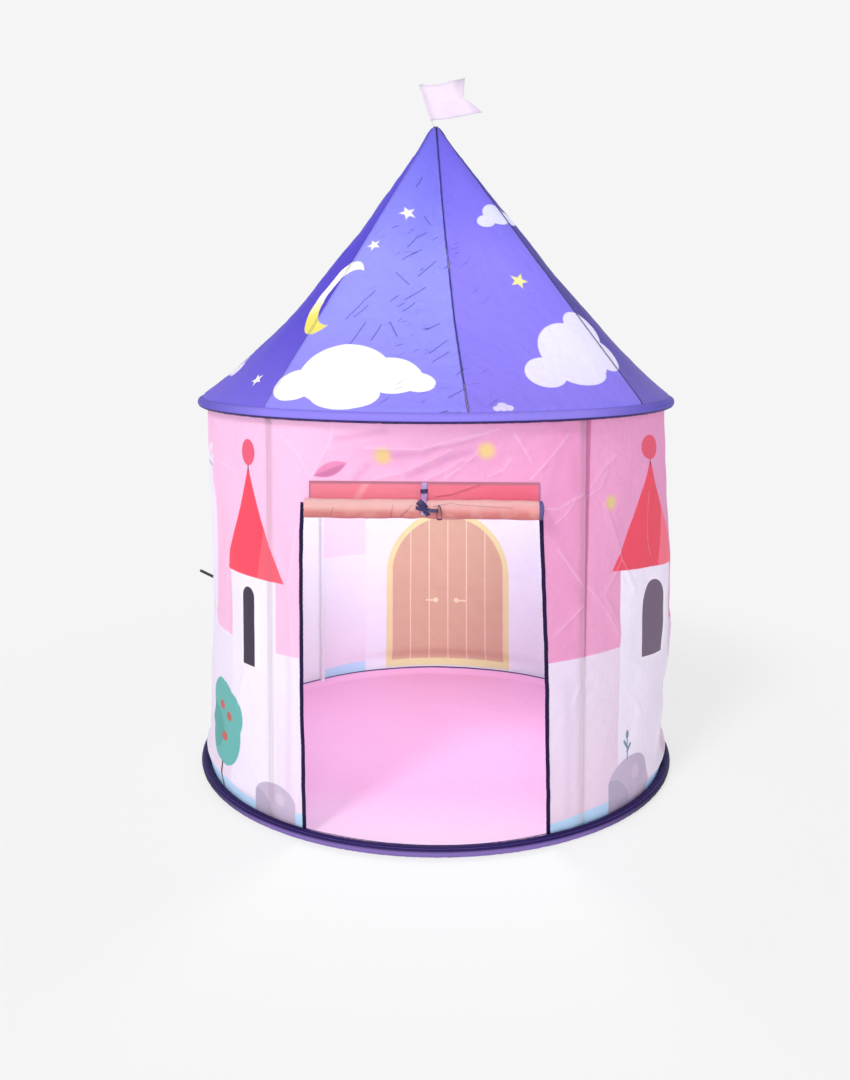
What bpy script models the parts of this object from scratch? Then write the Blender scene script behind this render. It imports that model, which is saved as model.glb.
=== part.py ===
"""A child's round play tent: a wall and a pointed roof of printed cloth between two spring-wire
hoops, held up by four wall poles and four roof rods, with a rolled-up door and a flag on top.

Metres, +Z up. The origin is under the middle of the floor. The doorway faces -Y, and an azimuth
is an angle about +Z from the middle of the doorway towards +X.
"""

import math

import bmesh
import bpy
from mathutils import Matrix, Vector

for old in list(bpy.data.objects):
    bpy.data.objects.remove(old, do_unlink=True)

# Fits
GAP = 0.0003  # between pieces that touch
SHARP_ANGLE = math.radians(40)
OVERRUN = 0.002  # how far a cutter runs past the face that it opens

# Hoops: a ring of spring wire with its ends in a ferrule, inside a channel of cloth
HOOP_RADIUS = 0.525
EAVE_HEIGHT = 0.812
CHANNEL_RADIUS = 0.010
CHANNEL_CLOTH = 0.0014
CHANNEL_SIDES = 8
HOOP_STEPS = 48
WIRE_RADIUS = 0.0021
WIRE_SIDES = 6
WIRE_END_GAP = 0.0015
FERRULE_WALL = 0.0009
FERRULE_LENGTH = 0.040
FERRULE_AZIMUTH = math.radians(180)

# Floor and wall cloth
FLOOR_CLOTH = 0.002
CLOTH = 0.0012
LEFT_WAIST_DEPTH = 0.016  # how far a wall is drawn in half way up, between its two poles
RIGHT_WAIST_DEPTH = -0.012  # less than zero, as this wall is pushed out
BACK_WAIST_DEPTH = 0.008
FOLD_DEPTH = 0.004
SIDE_FOLDS = 3
BACK_FOLDS = 2
SIDE_COLUMNS = 16
BACK_COLUMNS = 12
WALL_ROWS = 8
FRONT_POLE_AZIMUTH = math.radians(36)
BACK_POLE_AZIMUTH = math.radians(140)

# Doorway
DOOR_WIDTH = 0.449
SEAM_BELOW_EAVE = 0.125  # the seam of the door flap, from the middle of the upper hoop
DOOR_TOP_BELOW_SEAM = 0.042
DOOR_COLUMNS = 10
JAMB_COLUMNS = 2
DOOR_ROWS = 5
LINTEL_ROWS = 4
CURTAIN_ROWS = 3
TAPE_WIDTH = 0.0065
TAPE_CLOTH = 0.0005

# Door flap, rolled up and tied
ROLL_RADIUS = 0.018
ROLL_LENGTH = 0.441
CURTAIN_WIDTH = 0.433
CURTAIN_DROP = 0.029  # from the seam to the top of the roll
ROLL_SIDES = 16
ROLL_STEPS = 18
ROLL_CREASE_DEPTH = 0.0011
ROLL_CREASES = 5
TIE_PINCH_DEPTH = 0.0022
TIE_PINCH_SPREAD = 0.045
RIBBON_WIDTH = 0.011
RIBBON_CLOTH = 0.0008
RIBBON_CLEARANCE = 0.0005
RIBBON_STEPS = 6
TIE_OFFSET = -0.001  # from the middle of the door towards +X
INNER_RIBBON_DROP = 0.068
BOW_WIDTH = 0.042
BOW_HEIGHT = 0.036
BOW_DEPTH = 0.006

# Wall poles, each of two rods in a coupler, in a sleeve of cloth
POLE_RADIUS = 0.004
POLE_SIDES = 10
COUPLER_WALL = 0.0009
COUPLER_LENGTH = 0.060
SLEEVE_CLOTH = 0.001
SLEEVE_STEPS = 6

# Roof
APEX_HEIGHT = 1.428
CROWN_RADIUS = 0.0075  # of the hole that the eight gores leave
CROWN_DROP = 0.005  # from the tip of the hub to the edge of that hole
GORES = 8
ROOF_TURN = math.radians(9.2)  # azimuth of the first seam
GORE_COLUMNS = 5
GORE_ROWS = 10
SAG_DEPTH = 0.040  # of the cloth, half way between two rods
SAG_LEAN_SHARE = 0.3  # how much of the sag is moved towards the eave

# Hub at the apex
HUB_RADIUS = 0.015
HUB_SKIRT = 0.020
HUB_SIDES = 16
SOCKET_START_RADIUS = 0.008
ROD_TOP_RADIUS = 0.022
SOCKET_LENGTH = 0.045

# Flag
FLAG_LEAN = math.radians(19)
STICK_RADIUS = 0.002
STICK_SIDES = 8
STICK_SOCKET = 0.018
STICK_ABOVE_APEX = 0.103
HOIST_START = 0.016  # along the stick, above the apex
HOIST_LENGTH = 0.084
FLAG_FLY = 0.113
FLAG_NOTCH = 0.030
FLAG_CLOTH = 0.0009
FLAG_WAVE = 0.007
FLAG_DROOP = 0.012
FLAG_COLUMNS = 10
FLAG_ROWS = 6

# Elastic band that holds the folded tent
BAND_HEIGHT = 0.420
BAND_COLUMN_SHARE = 0.625
BAND_LENGTH = 0.034
BAND_WIDTH = 0.005
BAND_CLOTH = 0.0012
BAND_SLOT = 0.001
BAND_RISE = math.radians(29)
BAND_STEPS = 6

FINISHES = {
    "roof": ((0.165, 0.100, 0.640), 0.72, 0.0),
    "wall": ((0.930, 0.560, 0.800), 0.75, 0.0),
    "floor": ((0.900, 0.420, 0.780), 0.70, 0.0),
    "channel": ((0.060, 0.020, 0.160), 0.65, 0.0),
    "tape": ((0.022, 0.008, 0.060), 0.65, 0.0),
    "wire": ((0.450, 0.450, 0.460), 0.35, 1.0),
    "ferrule": ((0.560, 0.560, 0.570), 0.40, 1.0),
    "pole": ((0.850, 0.850, 0.840), 0.45, 0.0),
    "coupler": ((0.620, 0.620, 0.630), 0.38, 1.0),
    "sleeve": ((0.850, 0.400, 0.680), 0.75, 0.0),
    "hub": ((0.110, 0.060, 0.420), 0.40, 0.0),
    "curtain": ((0.940, 0.280, 0.330), 0.75, 0.0),
    "roll": ((0.960, 0.450, 0.400), 0.75, 0.0),
    "ribbon": ((0.050, 0.020, 0.180), 0.55, 0.0),
    "flag": ((0.900, 0.660, 0.830), 0.70, 0.0),
    "band": ((0.012, 0.012, 0.012), 0.80, 0.0),
}

# Places that follow from the sizes above
CHANNEL_CORNER = CHANNEL_RADIUS / math.cos(math.pi / CHANNEL_SIDES)
CHANNEL_HALF_FLAT = CHANNEL_RADIUS * math.tan(math.pi / CHANNEL_SIDES)
FERRULE_RADIUS = WIRE_RADIUS + GAP + FERRULE_WALL
WIRE_CIRCLE = HOOP_RADIUS + CHANNEL_RADIUS - CHANNEL_CLOTH - GAP - FERRULE_RADIUS
FLOOR_RADIUS = HOOP_RADIUS - CHANNEL_HALF_FLAT - FLOOR_CLOTH - 2 * GAP
FLOOR_HOOP_HEIGHT = CHANNEL_RADIUS
WALL_RADIUS = (HOOP_RADIUS - CHANNEL_RADIUS) * math.cos(math.pi / HOOP_STEPS) - GAP
WALL_FOOT = FLOOR_CLOTH + GAP
WALL_TOP = EAVE_HEIGHT + CHANNEL_HALF_FLAT
SEAM_HEIGHT = EAVE_HEIGHT - SEAM_BELOW_EAVE
DOOR_HEIGHT = SEAM_HEIGHT - DOOR_TOP_BELOW_SEAM
COUPLER_RADIUS = POLE_RADIUS + GAP + COUPLER_WALL
SLEEVE_BORE = COUPLER_RADIUS + GAP
POLE_CIRCLE = WALL_RADIUS - CLOTH - SLEEVE_BORE
SLEEVE_LAND = math.asin((SLEEVE_BORE + SLEEVE_CLOTH + GAP) / WALL_RADIUS)
DOOR_HALF_AZIMUTH = math.asin(DOOR_WIDTH / 2 / WALL_RADIUS)
DOOR_FACE = WALL_RADIUS * math.cos(DOOR_HALF_AZIMUTH)
SEAM_PLANE = DOOR_FACE + GAP + CLOTH / 2
ROLL_DROP = CURTAIN_DROP + ROLL_RADIUS
ROLL_STAND = CLOTH / 2 + GAP + ROLL_RADIUS  # from the flap's plane to the middle of the roll
GORE_ANGLE = math.tau / GORES
ROD_ANGLE = 2 * GORE_ANGLE
ROOF_EDGE = Vector((HOOP_RADIUS, EAVE_HEIGHT + CHANNEL_RADIUS + GAP + CLOTH))
ROOF_CROWN = Vector((CROWN_RADIUS, APEX_HEIGHT - CROWN_DROP))
ROOF_SLANT = (ROOF_CROWN - ROOF_EDGE).normalized()
ROOF_INWARD = Vector((-ROOF_SLANT.y, ROOF_SLANT.x))
ROD_DEPTH = CLOTH + GAP + COUPLER_RADIUS
NUB_RADIUS = CROWN_RADIUS - CLOTH - GAP


def polar(azimuth, radius, height):
    """The point at that azimuth, distance from the middle of the tent and height."""
    return Vector((radius * math.sin(azimuth), -radius * math.cos(azimuth), height))


def stops(start, end, count):
    """count + 1 even steps from start to end."""
    return [start + (end - start) * step / count for step in range(count + 1)]


def bulge(share):
    """0 at both ends and 1 in the middle, with slanting ends."""
    return 4 * share * (1 - share)


def swell(share):
    """0 at both ends and 1 in the middle, with level ends."""
    return math.sin(math.pi * share) ** 2


def smooth(share):
    """0 to 1 with level ends."""
    share = min(1, max(0, share))
    return share * share * (3 - 2 * share)


def finish(name, kind):
    """A material of the piece's own, in the colour and gloss of its kind."""
    colour, roughness, metallic = FINISHES[kind]
    material = bpy.data.materials.new(name)
    material.use_nodes = True
    shader = material.node_tree.nodes["Principled BSDF"]
    shader.inputs["Base Color"].default_value = (*colour, 1)
    shader.inputs["Roughness"].default_value = roughness
    shader.inputs["Metallic"].default_value = metallic
    material.diffuse_color = (*colour, 1)
    return material


def mesh_of(name, shape, kind):
    """The named mesh of a bmesh, smooth but for its sharp edges."""
    mesh = bpy.data.meshes.new(name)
    shape.to_mesh(mesh)
    shape.free()
    mesh.shade_smooth()
    mesh.set_sharp_from_angle(angle=SHARP_ANGLE)
    mesh.materials.append(finish(name, kind))
    return mesh


def add_piece(name, mesh, parent=None, place=None):
    """One object of the tent. place is its matrix under its parent."""
    piece = bpy.data.objects.new(name, mesh)
    bpy.context.scene.collection.objects.link(piece)
    piece.parent = parent
    if place is not None:
        piece.matrix_local = place
    return piece


def add_axis(name, place, parent=None):
    """An empty on a joint's axis, for the pieces that move about it."""
    axis = bpy.data.objects.new(name, None)
    bpy.context.scene.collection.objects.link(axis)
    axis.parent = parent
    axis.matrix_local = place
    return axis


def loft(sections, cells, closed=False):
    """A solid through matching rows of points.

    Each cell lists the points of a row that go round a piece of its filled area, all cells in the
    same sense. A closed loft joins its last row to its first.
    """
    shape = bmesh.new()
    used = sorted({index for cell in cells for index in cell})
    rows = [{index: shape.verts.new(section[index]) for index in used} for section in sections]
    edges = {edge for cell in cells for edge in zip(cell, cell[1:] + cell[:1])}
    rim = sorted(edge for edge in edges if edge[::-1] not in edges)
    following = rows[1:] + rows[:1] if closed else rows[1:]
    for low, high in zip(rows, following):
        for start, end in rim:
            shape.faces.new((low[start], low[end], high[end], high[start]))
    if not closed:
        for cell in cells:
            shape.faces.new([rows[0][index] for index in reversed(cell)])
            shape.faces.new([rows[-1][index] for index in cell])
    bmesh.ops.recalc_face_normals(shape, faces=shape.faces[:])
    return shape


def ring_cells(count, closed):
    """Cells between an outer row of count points and an inner row of as many."""
    last = count if closed else count - 1
    return [
        (index, (index + 1) % count, count + (index + 1) % count, count + index)
        for index in range(last)
    ]


def circle(radius, sides, turn=0):
    """The corners of a regular outline, as (across, along) pairs."""
    return [
        (radius * math.cos(turn + math.tau * side / sides), radius * math.sin(turn + math.tau * side / sides))
        for side in range(sides)
    ]


def rod_shape(radius, sides, start, end):
    """A plain rod along Z."""
    outline = circle(radius, sides)
    sections = [[Vector((x, y, height)) for x, y in outline] for height in (start, end)]
    return loft(sections, [tuple(range(sides))])


def tube_shape(outer, bore, sides, start, end):
    """A plain tube along Z."""
    outline = circle(outer, sides) + circle(bore, sides)
    sections = [[Vector((x, y, height)) for x, y in outline] for height in (start, end)]
    return loft(sections, ring_cells(sides, True))


def sheet_shape(columns, rows, point, cut=()):
    """Cloth on a grid. point(column, row, depth) places a corner, with depth 0 outside, 1 inside.

    Both faces are split along the same diagonals, so the cloth is as thick on a slack cell too.
    """
    across = len(columns)
    sections = [
        [point(i, j, depth) for j in range(len(rows)) for i in range(across)] for depth in (0, 1)
    ]
    cells = []
    for j in range(len(rows) - 1):
        for i in range(across - 1):
            if (i, j) not in cut:
                low = j * across + i
                high = low + across
                cells += [(low, low + 1, high + 1), (low, high + 1, high)]
    return loft(sections, cells)


def facet(azimuth):
    """How much nearer the middle a hoop lies at this azimuth, as it has HOOP_STEPS flat sides."""
    half_step = math.pi / HOOP_STEPS
    return math.cos(half_step) / math.cos(azimuth % (2 * half_step) - half_step)


def hoop_section(azimuth, circle_radius, height, outline):
    """An outline of (outwards, up) pairs set across a hoop."""
    return [
        polar(azimuth, (circle_radius + outwards) * facet(azimuth), height + up)
        for outwards, up in outline
    ]


def add_hoop(prefix, height):
    """The channel, the wire in it and the ferrule on the wire's ends."""
    first_corner = math.pi + math.pi / CHANNEL_SIDES
    wall_outline = [
        corner
        for radius in (CHANNEL_CORNER, CHANNEL_CORNER - CHANNEL_CLOTH / math.cos(math.pi / CHANNEL_SIDES))
        for corner in circle(radius, CHANNEL_SIDES, first_corner)
    ]
    turns = stops(0, math.tau, HOOP_STEPS)[:-1]
    channel = loft(
        [hoop_section(turn, HOOP_RADIUS, height, wall_outline) for turn in turns],
        ring_cells(CHANNEL_SIDES, False),
        closed=True,
    )
    add_piece(prefix + "_binding", mesh_of(prefix + "_binding", channel, "channel"))

    half_gap = WIRE_END_GAP / 2 / WIRE_CIRCLE
    path = stops(FERRULE_AZIMUTH, FERRULE_AZIMUTH + math.tau, HOOP_STEPS)
    path[0] += half_gap
    path[-1] -= half_gap
    wire_outline = circle(WIRE_RADIUS, WIRE_SIDES)
    wire = loft(
        [hoop_section(turn, WIRE_CIRCLE, height, wire_outline) for turn in path],
        [tuple(range(WIRE_SIDES))],
    )
    add_piece(prefix, mesh_of(prefix, wire, "wire"))

    half_ferrule = FERRULE_LENGTH / 2 / WIRE_CIRCLE
    ferrule_outline = circle(FERRULE_RADIUS, WIRE_SIDES) + circle(WIRE_RADIUS + GAP, WIRE_SIDES)
    ferrule = loft(
        [
            hoop_section(turn, WIRE_CIRCLE, height, ferrule_outline)
            for turn in stops(FERRULE_AZIMUTH - half_ferrule, FERRULE_AZIMUTH + half_ferrule, 2)
        ],
        ring_cells(WIRE_SIDES, True),
    )
    add_piece(prefix + "_ferrule", mesh_of(prefix + "_ferrule", ferrule, "ferrule"))


def add_floor():
    """The round floor cloth, sewn to the lower channel all round."""
    turns = stops(0, math.tau, HOOP_STEPS)[:-1]
    sections = [[polar(turn, FLOOR_RADIUS, height) for turn in turns] for height in (0, FLOOR_CLOTH)]
    floor = loft(sections, [tuple(range(HOOP_STEPS))])
    add_piece("floor_mat", mesh_of("floor_mat", floor, "floor"))


def seam_side(column, columns):
    """1 at a panel's first column and -1 at its last, where it keeps clear of its neighbour."""
    if column == 0:
        return 1
    return -1 if column == columns - 1 else 0


def wall_columns(start, end, count):
    """Columns of a wall panel, with a narrow one beside each pole for its sleeve to lie on."""
    return [start, *stops(start + SLEEVE_LAND, end - SLEEVE_LAND, count), end]


def add_wall_panel(name, start, end, count, folds, waist_depth):
    """A panel from pole to pole, drawn in between them and between the hoops, with soft folds."""
    columns = wall_columns(start, end, count)
    low = FLOOR_HOOP_HEIGHT + CHANNEL_RADIUS
    high = EAVE_HEIGHT - CHANNEL_RADIUS
    rows = [WALL_FOOT, *stops(low, high, WALL_ROWS), WALL_TOP]

    def point(column, row, depth):
        turn_share = (columns[column] - start) / (end - start)
        rise_share = (min(max(rows[row], low), high) - low) / (high - low)
        waist = waist_depth * swell(turn_share) * swell(rise_share)
        fold = FOLD_DEPTH * swell(turn_share) * swell(rise_share) * math.cos(math.tau * folds * turn_share)
        radius = WALL_RADIUS - depth * CLOTH - waist + fold
        azimuth = columns[column] + seam_side(column, len(columns)) * GAP / 2 / radius
        return polar(azimuth, radius, rows[row])

    panel = sheet_shape(columns, rows, point)
    add_piece(name, mesh_of(name, panel, "wall"))
    return point, columns, rows


def add_front_panel():
    """The panel with the doorway. Over the door it is drawn flat by the weight of the rolled flap."""
    jamb = DOOR_HALF_AZIMUTH
    pole = FRONT_POLE_AZIMUTH
    columns = [
        -pole,
        *stops(SLEEVE_LAND - pole, -jamb, JAMB_COLUMNS),
        *stops(-jamb, jamb, DOOR_COLUMNS)[1:-1],
        *stops(jamb, pole - SLEEVE_LAND, JAMB_COLUMNS),
        pole,
    ]
    rows = stops(WALL_FOOT, DOOR_HEIGHT, DOOR_ROWS) + stops(SEAM_HEIGHT, WALL_TOP, LINTEL_ROWS)

    def point(column, row, depth):
        radius = WALL_RADIUS - depth * CLOTH
        azimuth = columns[column] + seam_side(column, len(columns)) * GAP / 2 / radius
        place = polar(azimuth, radius, rows[row])
        if abs(azimuth) < jamb:
            flatness = smooth((WALL_TOP - rows[row]) / (WALL_TOP - SEAM_HEIGHT))
            place.y += (-radius * math.cos(jamb) - place.y) * flatness
        return place

    first_door_column = JAMB_COLUMNS + 1
    cut = {
        (first_door_column + column, row)
        for column in range(DOOR_COLUMNS)
        for row in range(DOOR_ROWS)
    }
    panel = sheet_shape(columns, rows, point, cut)
    add_piece("wall_front", mesh_of("wall_front", panel, "wall"))


def add_door_tape(name, side):
    """The dark tape folded over one upright edge of the doorway."""
    outer = (WALL_RADIUS - CLOTH) * math.sin(DOOR_HALF_AZIMUTH) - GAP
    middle = DOOR_FACE - CLOTH / 2 * math.cos(DOOR_HALF_AZIMUTH)
    half_depth = CLOTH / 2 + TAPE_CLOTH
    outline = [
        (side * across, -middle + depth)
        for across, depth in (
            (outer - TAPE_WIDTH, -half_depth),
            (outer, -half_depth),
            (outer, half_depth),
            (outer - TAPE_WIDTH, half_depth),
        )
    ]
    sections = [
        [Vector((x, y, height)) for x, y in outline] for height in (WALL_FOOT, DOOR_HEIGHT - GAP)
    ]
    tape = loft(sections, [tuple(range(len(outline)))])
    add_piece(name, mesh_of(name, tape, "tape"))


def add_wall_poles():
    """Each pole stands on the lower channel and carries the upper one, in a sleeve on the wall."""
    middle = (WALL_FOOT + WALL_TOP) / 2
    half_coupler = COUPLER_LENGTH / 2
    lower = mesh_of("wall_pole_lower", rod_shape(POLE_RADIUS, POLE_SIDES, WALL_FOOT, middle - GAP / 2), "pole")
    upper = mesh_of("wall_pole_upper", rod_shape(POLE_RADIUS, POLE_SIDES, middle + GAP / 2, WALL_TOP), "pole")
    coupler_shape = tube_shape(
        COUPLER_RADIUS, POLE_RADIUS + GAP, POLE_SIDES, middle - half_coupler, middle + half_coupler
    )
    coupler = mesh_of("pole_coupler", coupler_shape, "coupler")

    bends = stops(0, math.pi, SLEEVE_STEPS)
    outline = []
    for bore in (SLEEVE_BORE + SLEEVE_CLOTH, SLEEVE_BORE):
        outline.append((bore, GAP - SLEEVE_BORE))
        outline += [(bore * math.cos(bend), bore * math.sin(bend)) for bend in bends]
        outline.append((-bore, GAP - SLEEVE_BORE))
    sections = [[Vector((x, y, height)) for x, y in outline] for height in (WALL_FOOT, WALL_TOP)]
    sleeve = mesh_of("pole_sleeve", loft(sections, ring_cells(len(outline) // 2, False)), "sleeve")

    azimuths = (-FRONT_POLE_AZIMUTH, FRONT_POLE_AZIMUTH, BACK_POLE_AZIMUTH, -BACK_POLE_AZIMUTH)
    for number, azimuth in enumerate(azimuths, 1):
        place = Matrix.Translation(polar(azimuth, POLE_CIRCLE, 0)) @ Matrix.Rotation(azimuth, 4, "Z")
        for name, mesh in (
            ("wall_pole_lower", lower),
            ("wall_pole_upper", upper),
            ("pole_coupler", coupler),
            ("pole_sleeve", sleeve),
        ):
            add_piece(f"{name}_{number}", mesh, place=place)


def rod_share(azimuth):
    """Where this azimuth lies between the two roof rods on either side of it, from 0 to 1."""
    return ((azimuth - ROOF_TURN - GORE_ANGLE) / ROD_ANGLE) % 1


def add_roof():
    """Eight gores, sewn together over the rods and half way between them, where they sag most."""
    slant = (ROOF_CROWN - ROOF_EDGE).length
    loose = (HUB_RADIUS + CLOTH - ROOF_EDGE.x) / ROOF_SLANT.x
    rows = [*stops(0, loose, GORE_ROWS), slant]
    columns = stops(0, GORE_ANGLE, GORE_COLUMNS)
    meshes = []
    for parity in (0, 1):
        offset = ROOF_TURN + parity * GORE_ANGLE

        def point(column, row, depth, offset=offset):
            rise_share = min(1, rows[row] / loose)
            lean = 1 + SAG_LEAN_SHARE * (0.5 - rise_share)
            sag = SAG_DEPTH * swell(rod_share(offset + columns[column])) * bulge(rise_share) * lean
            place = ROOF_EDGE + ROOF_SLANT * rows[row] + ROOF_INWARD * (sag + depth * CLOTH)
            azimuth = columns[column] + seam_side(column, len(columns)) * GAP / 2 / place.x
            return polar(azimuth, place.x, place.y)

        meshes.append(mesh_of(f"roof_gore_{parity}", sheet_shape(columns, rows, point), "roof"))
    for number in range(GORES):
        turn = Matrix.Rotation(ROOF_TURN + number * GORE_ANGLE, 4, "Z")
        add_piece(f"roof_gore_{number + 1}", meshes[number % 2], place=turn)


def rod_line(azimuth):
    """(start, end, matrix) of a roof rod: its ends along its own Z, and its place in the tent."""
    foot = ROOF_EDGE + ROOF_INWARD * ROD_DEPTH
    from_hoop = (foot - Vector((HOOP_RADIUS, EAVE_HEIGHT))).dot(ROOF_SLANT)
    start = CHANNEL_CORNER + GAP - from_hoop
    end = (ROD_TOP_RADIUS - foot.x) / ROOF_SLANT.x
    tilt = math.atan2(-ROOF_SLANT.x, ROOF_SLANT.y)
    place = (
        Matrix.Translation(polar(azimuth, foot.x, foot.y))
        @ Matrix.Rotation(azimuth, 4, "Z")
        @ Matrix.Rotation(-tilt, 4, "X")
    )
    return start, end, place


def add_roof_rods():
    """Four rods from the upper channel to the hub, each of two rods in a coupler."""
    start, end, _ = rod_line(0)
    middle = (start + end) / 2
    half_coupler = COUPLER_LENGTH / 2
    lower = mesh_of("roof_rod_lower", rod_shape(POLE_RADIUS, POLE_SIDES, start, middle - GAP / 2), "pole")
    upper = mesh_of("roof_rod_upper", rod_shape(POLE_RADIUS, POLE_SIDES, middle + GAP / 2, end), "pole")
    coupler_shape = tube_shape(
        COUPLER_RADIUS, POLE_RADIUS + GAP, POLE_SIDES, middle - half_coupler, middle + half_coupler
    )
    coupler = mesh_of("roof_rod_coupler", coupler_shape, "coupler")
    for number in range(GORES // 2):
        azimuth = ROOF_TURN + GORE_ANGLE + number * ROD_ANGLE
        place = rod_line(azimuth)[2]
        for name, mesh in (
            ("roof_rod_lower", lower),
            ("roof_rod_upper", upper),
            ("roof_rod_coupler", coupler),
        ):
            add_piece(f"{name}_{number + 1}", mesh, place=place)


def add_cutter(name, shape, place):
    """A helper for a Boolean, which is no piece of the tent."""
    mesh = bpy.data.meshes.new(name)
    shape.to_mesh(mesh)
    shape.free()
    cutter = add_piece(name, mesh, place=place)
    cutter.hide_render = True
    cutter.display_type = "WIRE"
    return cutter


def combine(piece, helper, operation):
    """A Boolean on the piece."""
    modifier = piece.modifiers.new(helper.name, "BOOLEAN")
    modifier.operation = operation
    modifier.object = helper
    modifier.solver = "EXACT"


def under_roof(radius, depth):
    """Height of the line that far under the roof's outer face, at a radius, over a rod."""
    fall = ROOF_SLANT.y / -ROOF_SLANT.x
    return ROOF_CROWN.y - (radius - ROOF_CROWN.x) * fall - depth / -ROOF_SLANT.x


def stick_place():
    """The foot of the flag's stick, leaning over, in its socket in the hub."""
    half_socket = STICK_SOCKET / 2
    pivot = Matrix.Translation((0, 0, APEX_HEIGHT - half_socket))
    foot = Matrix.Translation((0, 0, -half_socket))
    return pivot @ Matrix.Rotation(-FLAG_LEAN, 4, "Y") @ foot


def add_hub():
    """The moulded hub under the crown: a nub for the flag, and a socket for each roof rod."""
    shoulder_depth = CLOTH + GAP
    shoulder = under_roof(HUB_RADIUS, shoulder_depth)
    profile = [
        (NUB_RADIUS, APEX_HEIGHT),
        (NUB_RADIUS, under_roof(NUB_RADIUS, shoulder_depth)),
        (HUB_RADIUS, shoulder),
        (HUB_RADIUS, shoulder - HUB_SKIRT),
    ]
    sections = [
        [Vector((x, y, height)) for x, y in circle(radius, HUB_SIDES)] for radius, height in profile
    ]
    name = "apex_hub"
    hub = add_piece(name, mesh_of(name, loft(sections, [tuple(range(HUB_SIDES))]), "hub"))

    _, rod_end, _ = rod_line(0)
    foot_radius = (ROOF_EDGE + ROOF_INWARD * ROD_DEPTH).x
    socket_end = (SOCKET_START_RADIUS - foot_radius) / ROOF_SLANT.x
    socket_start = socket_end - SOCKET_LENGTH
    sockets = []
    bores = []
    for number in range(GORES // 2):
        place = rod_line(ROOF_TURN + GORE_ANGLE + number * ROD_ANGLE)[2]
        socket = rod_shape(COUPLER_RADIUS, POLE_SIDES, socket_start, socket_end)
        sockets.append(add_cutter(f"socket_{number + 1}", socket, place))
        bore = rod_shape(POLE_RADIUS + GAP, POLE_SIDES, socket_start - OVERRUN, rod_end + GAP)
        bores.append(add_cutter(f"socket_bore_{number + 1}", bore, place))
    stick_bore = rod_shape(STICK_RADIUS + GAP, STICK_SIDES, -GAP, STICK_SOCKET + STICK_RADIUS + OVERRUN)
    bores.append(add_cutter("stick_bore", stick_bore, stick_place()))
    for socket in sockets:
        combine(hub, socket, "UNION")
    for bore in bores:
        combine(hub, bore, "DIFFERENCE")


def add_flag():
    """A swallow-tailed flag whose hem turns on a plain stick."""
    lift_axis = add_axis("flag_stick_axis", stick_place())
    stick = rod_shape(STICK_RADIUS, STICK_SIDES, 0, STICK_SOCKET + STICK_ABOVE_APEX)
    add_piece("flag_stick", mesh_of("flag_stick", stick, "pole"), lift_axis)

    bore = STICK_RADIUS + GAP
    hem = bore + FLAG_CLOTH
    half_root = math.asin(FLAG_CLOTH / 2 / hem)
    bends = [half_root, *stops(math.tau / STICK_SIDES, math.tau - math.tau / STICK_SIDES, STICK_SIDES - 2)]
    bends.append(math.tau - half_root)
    count = len(bends)
    bottom = STICK_SOCKET + HOIST_START
    sections = []
    for row in range(FLAG_ROWS + 1):
        hoist_share = row / FLAG_ROWS
        fly = FLAG_FLY - FLAG_NOTCH * (1 - abs(2 * hoist_share - 1))
        height = bottom + HOIST_LENGTH * hoist_share
        section = [
            Vector((radius * math.cos(bend), radius * math.sin(bend), height))
            for radius in (hem, bore)
            for bend in bends
        ]
        for half_cloth in (FLAG_CLOTH / 2, -FLAG_CLOTH / 2):
            for column in range(1, FLAG_COLUMNS + 1):
                share = column / FLAG_COLUMNS
                wave = FLAG_WAVE * share * math.sin(math.tau * (share + hoist_share / GORES))
                droop = FLAG_DROOP * share * share
                section.append(Vector((hem + (fly - hem) * share, wave + half_cloth, height - droop)))
        sections.append(section)
    cells = ring_cells(count, False)
    cells.append((count - 1, 0, count, 2 * count - 1))
    near = [0] + [2 * count + column for column in range(FLAG_COLUMNS)]
    far = [count - 1] + [2 * count + FLAG_COLUMNS + column for column in range(FLAG_COLUMNS)]
    cells += [
        (far[column], far[column + 1], near[column + 1], near[column]) for column in range(FLAG_COLUMNS)
    ]
    turn_axis = add_axis("flag_turn_axis", Matrix.Identity(4), lift_axis)
    add_piece("flag", mesh_of("flag", loft(sections, cells), "flag"), turn_axis)


def ribbon_shape(path, offset):
    """A flat ribbon along (y, z) points, RIBBON_WIDTH wide about x = offset."""
    half_width = RIBBON_WIDTH / 2
    sections = []
    for index, here in enumerate(path):
        before = path[max(index - 1, 0)]
        after = path[min(index + 1, len(path) - 1)]
        along = (after - before).normalized()
        side = Vector((-along.y, along.x)) * RIBBON_CLOTH / 2
        sections.append(
            [
                Vector((offset + across, *(here + side * face)))
                for across, face in (
                    (-half_width, -1),
                    (half_width, -1),
                    (half_width, 1),
                    (-half_width, 1),
                )
            ]
        )
    return loft(sections, [tuple(range(len(sections[0])))])


def outer_ribbon_path():
    """From the seam to the front of the roll, and straight down in front of it."""
    hug = ROLL_RADIUS + RIBBON_CLEARANCE + RIBBON_CLOTH / 2
    start = Vector((-CLOTH / 2 - GAP - RIBBON_CLOTH / 2, -CLOTH))
    centre = Vector((-ROLL_STAND, -ROLL_DROP))
    to_centre = centre - start
    touch = math.atan2(-to_centre.x, -to_centre.y) + math.asin(hug / to_centre.length)
    bends = [centre + hug * Vector((-math.cos(bend), math.sin(bend))) for bend in stops(touch, 0, RIBBON_STEPS)]
    return [start, *bends, bends[-1] - Vector((0, ROLL_RADIUS / 2))]


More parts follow.
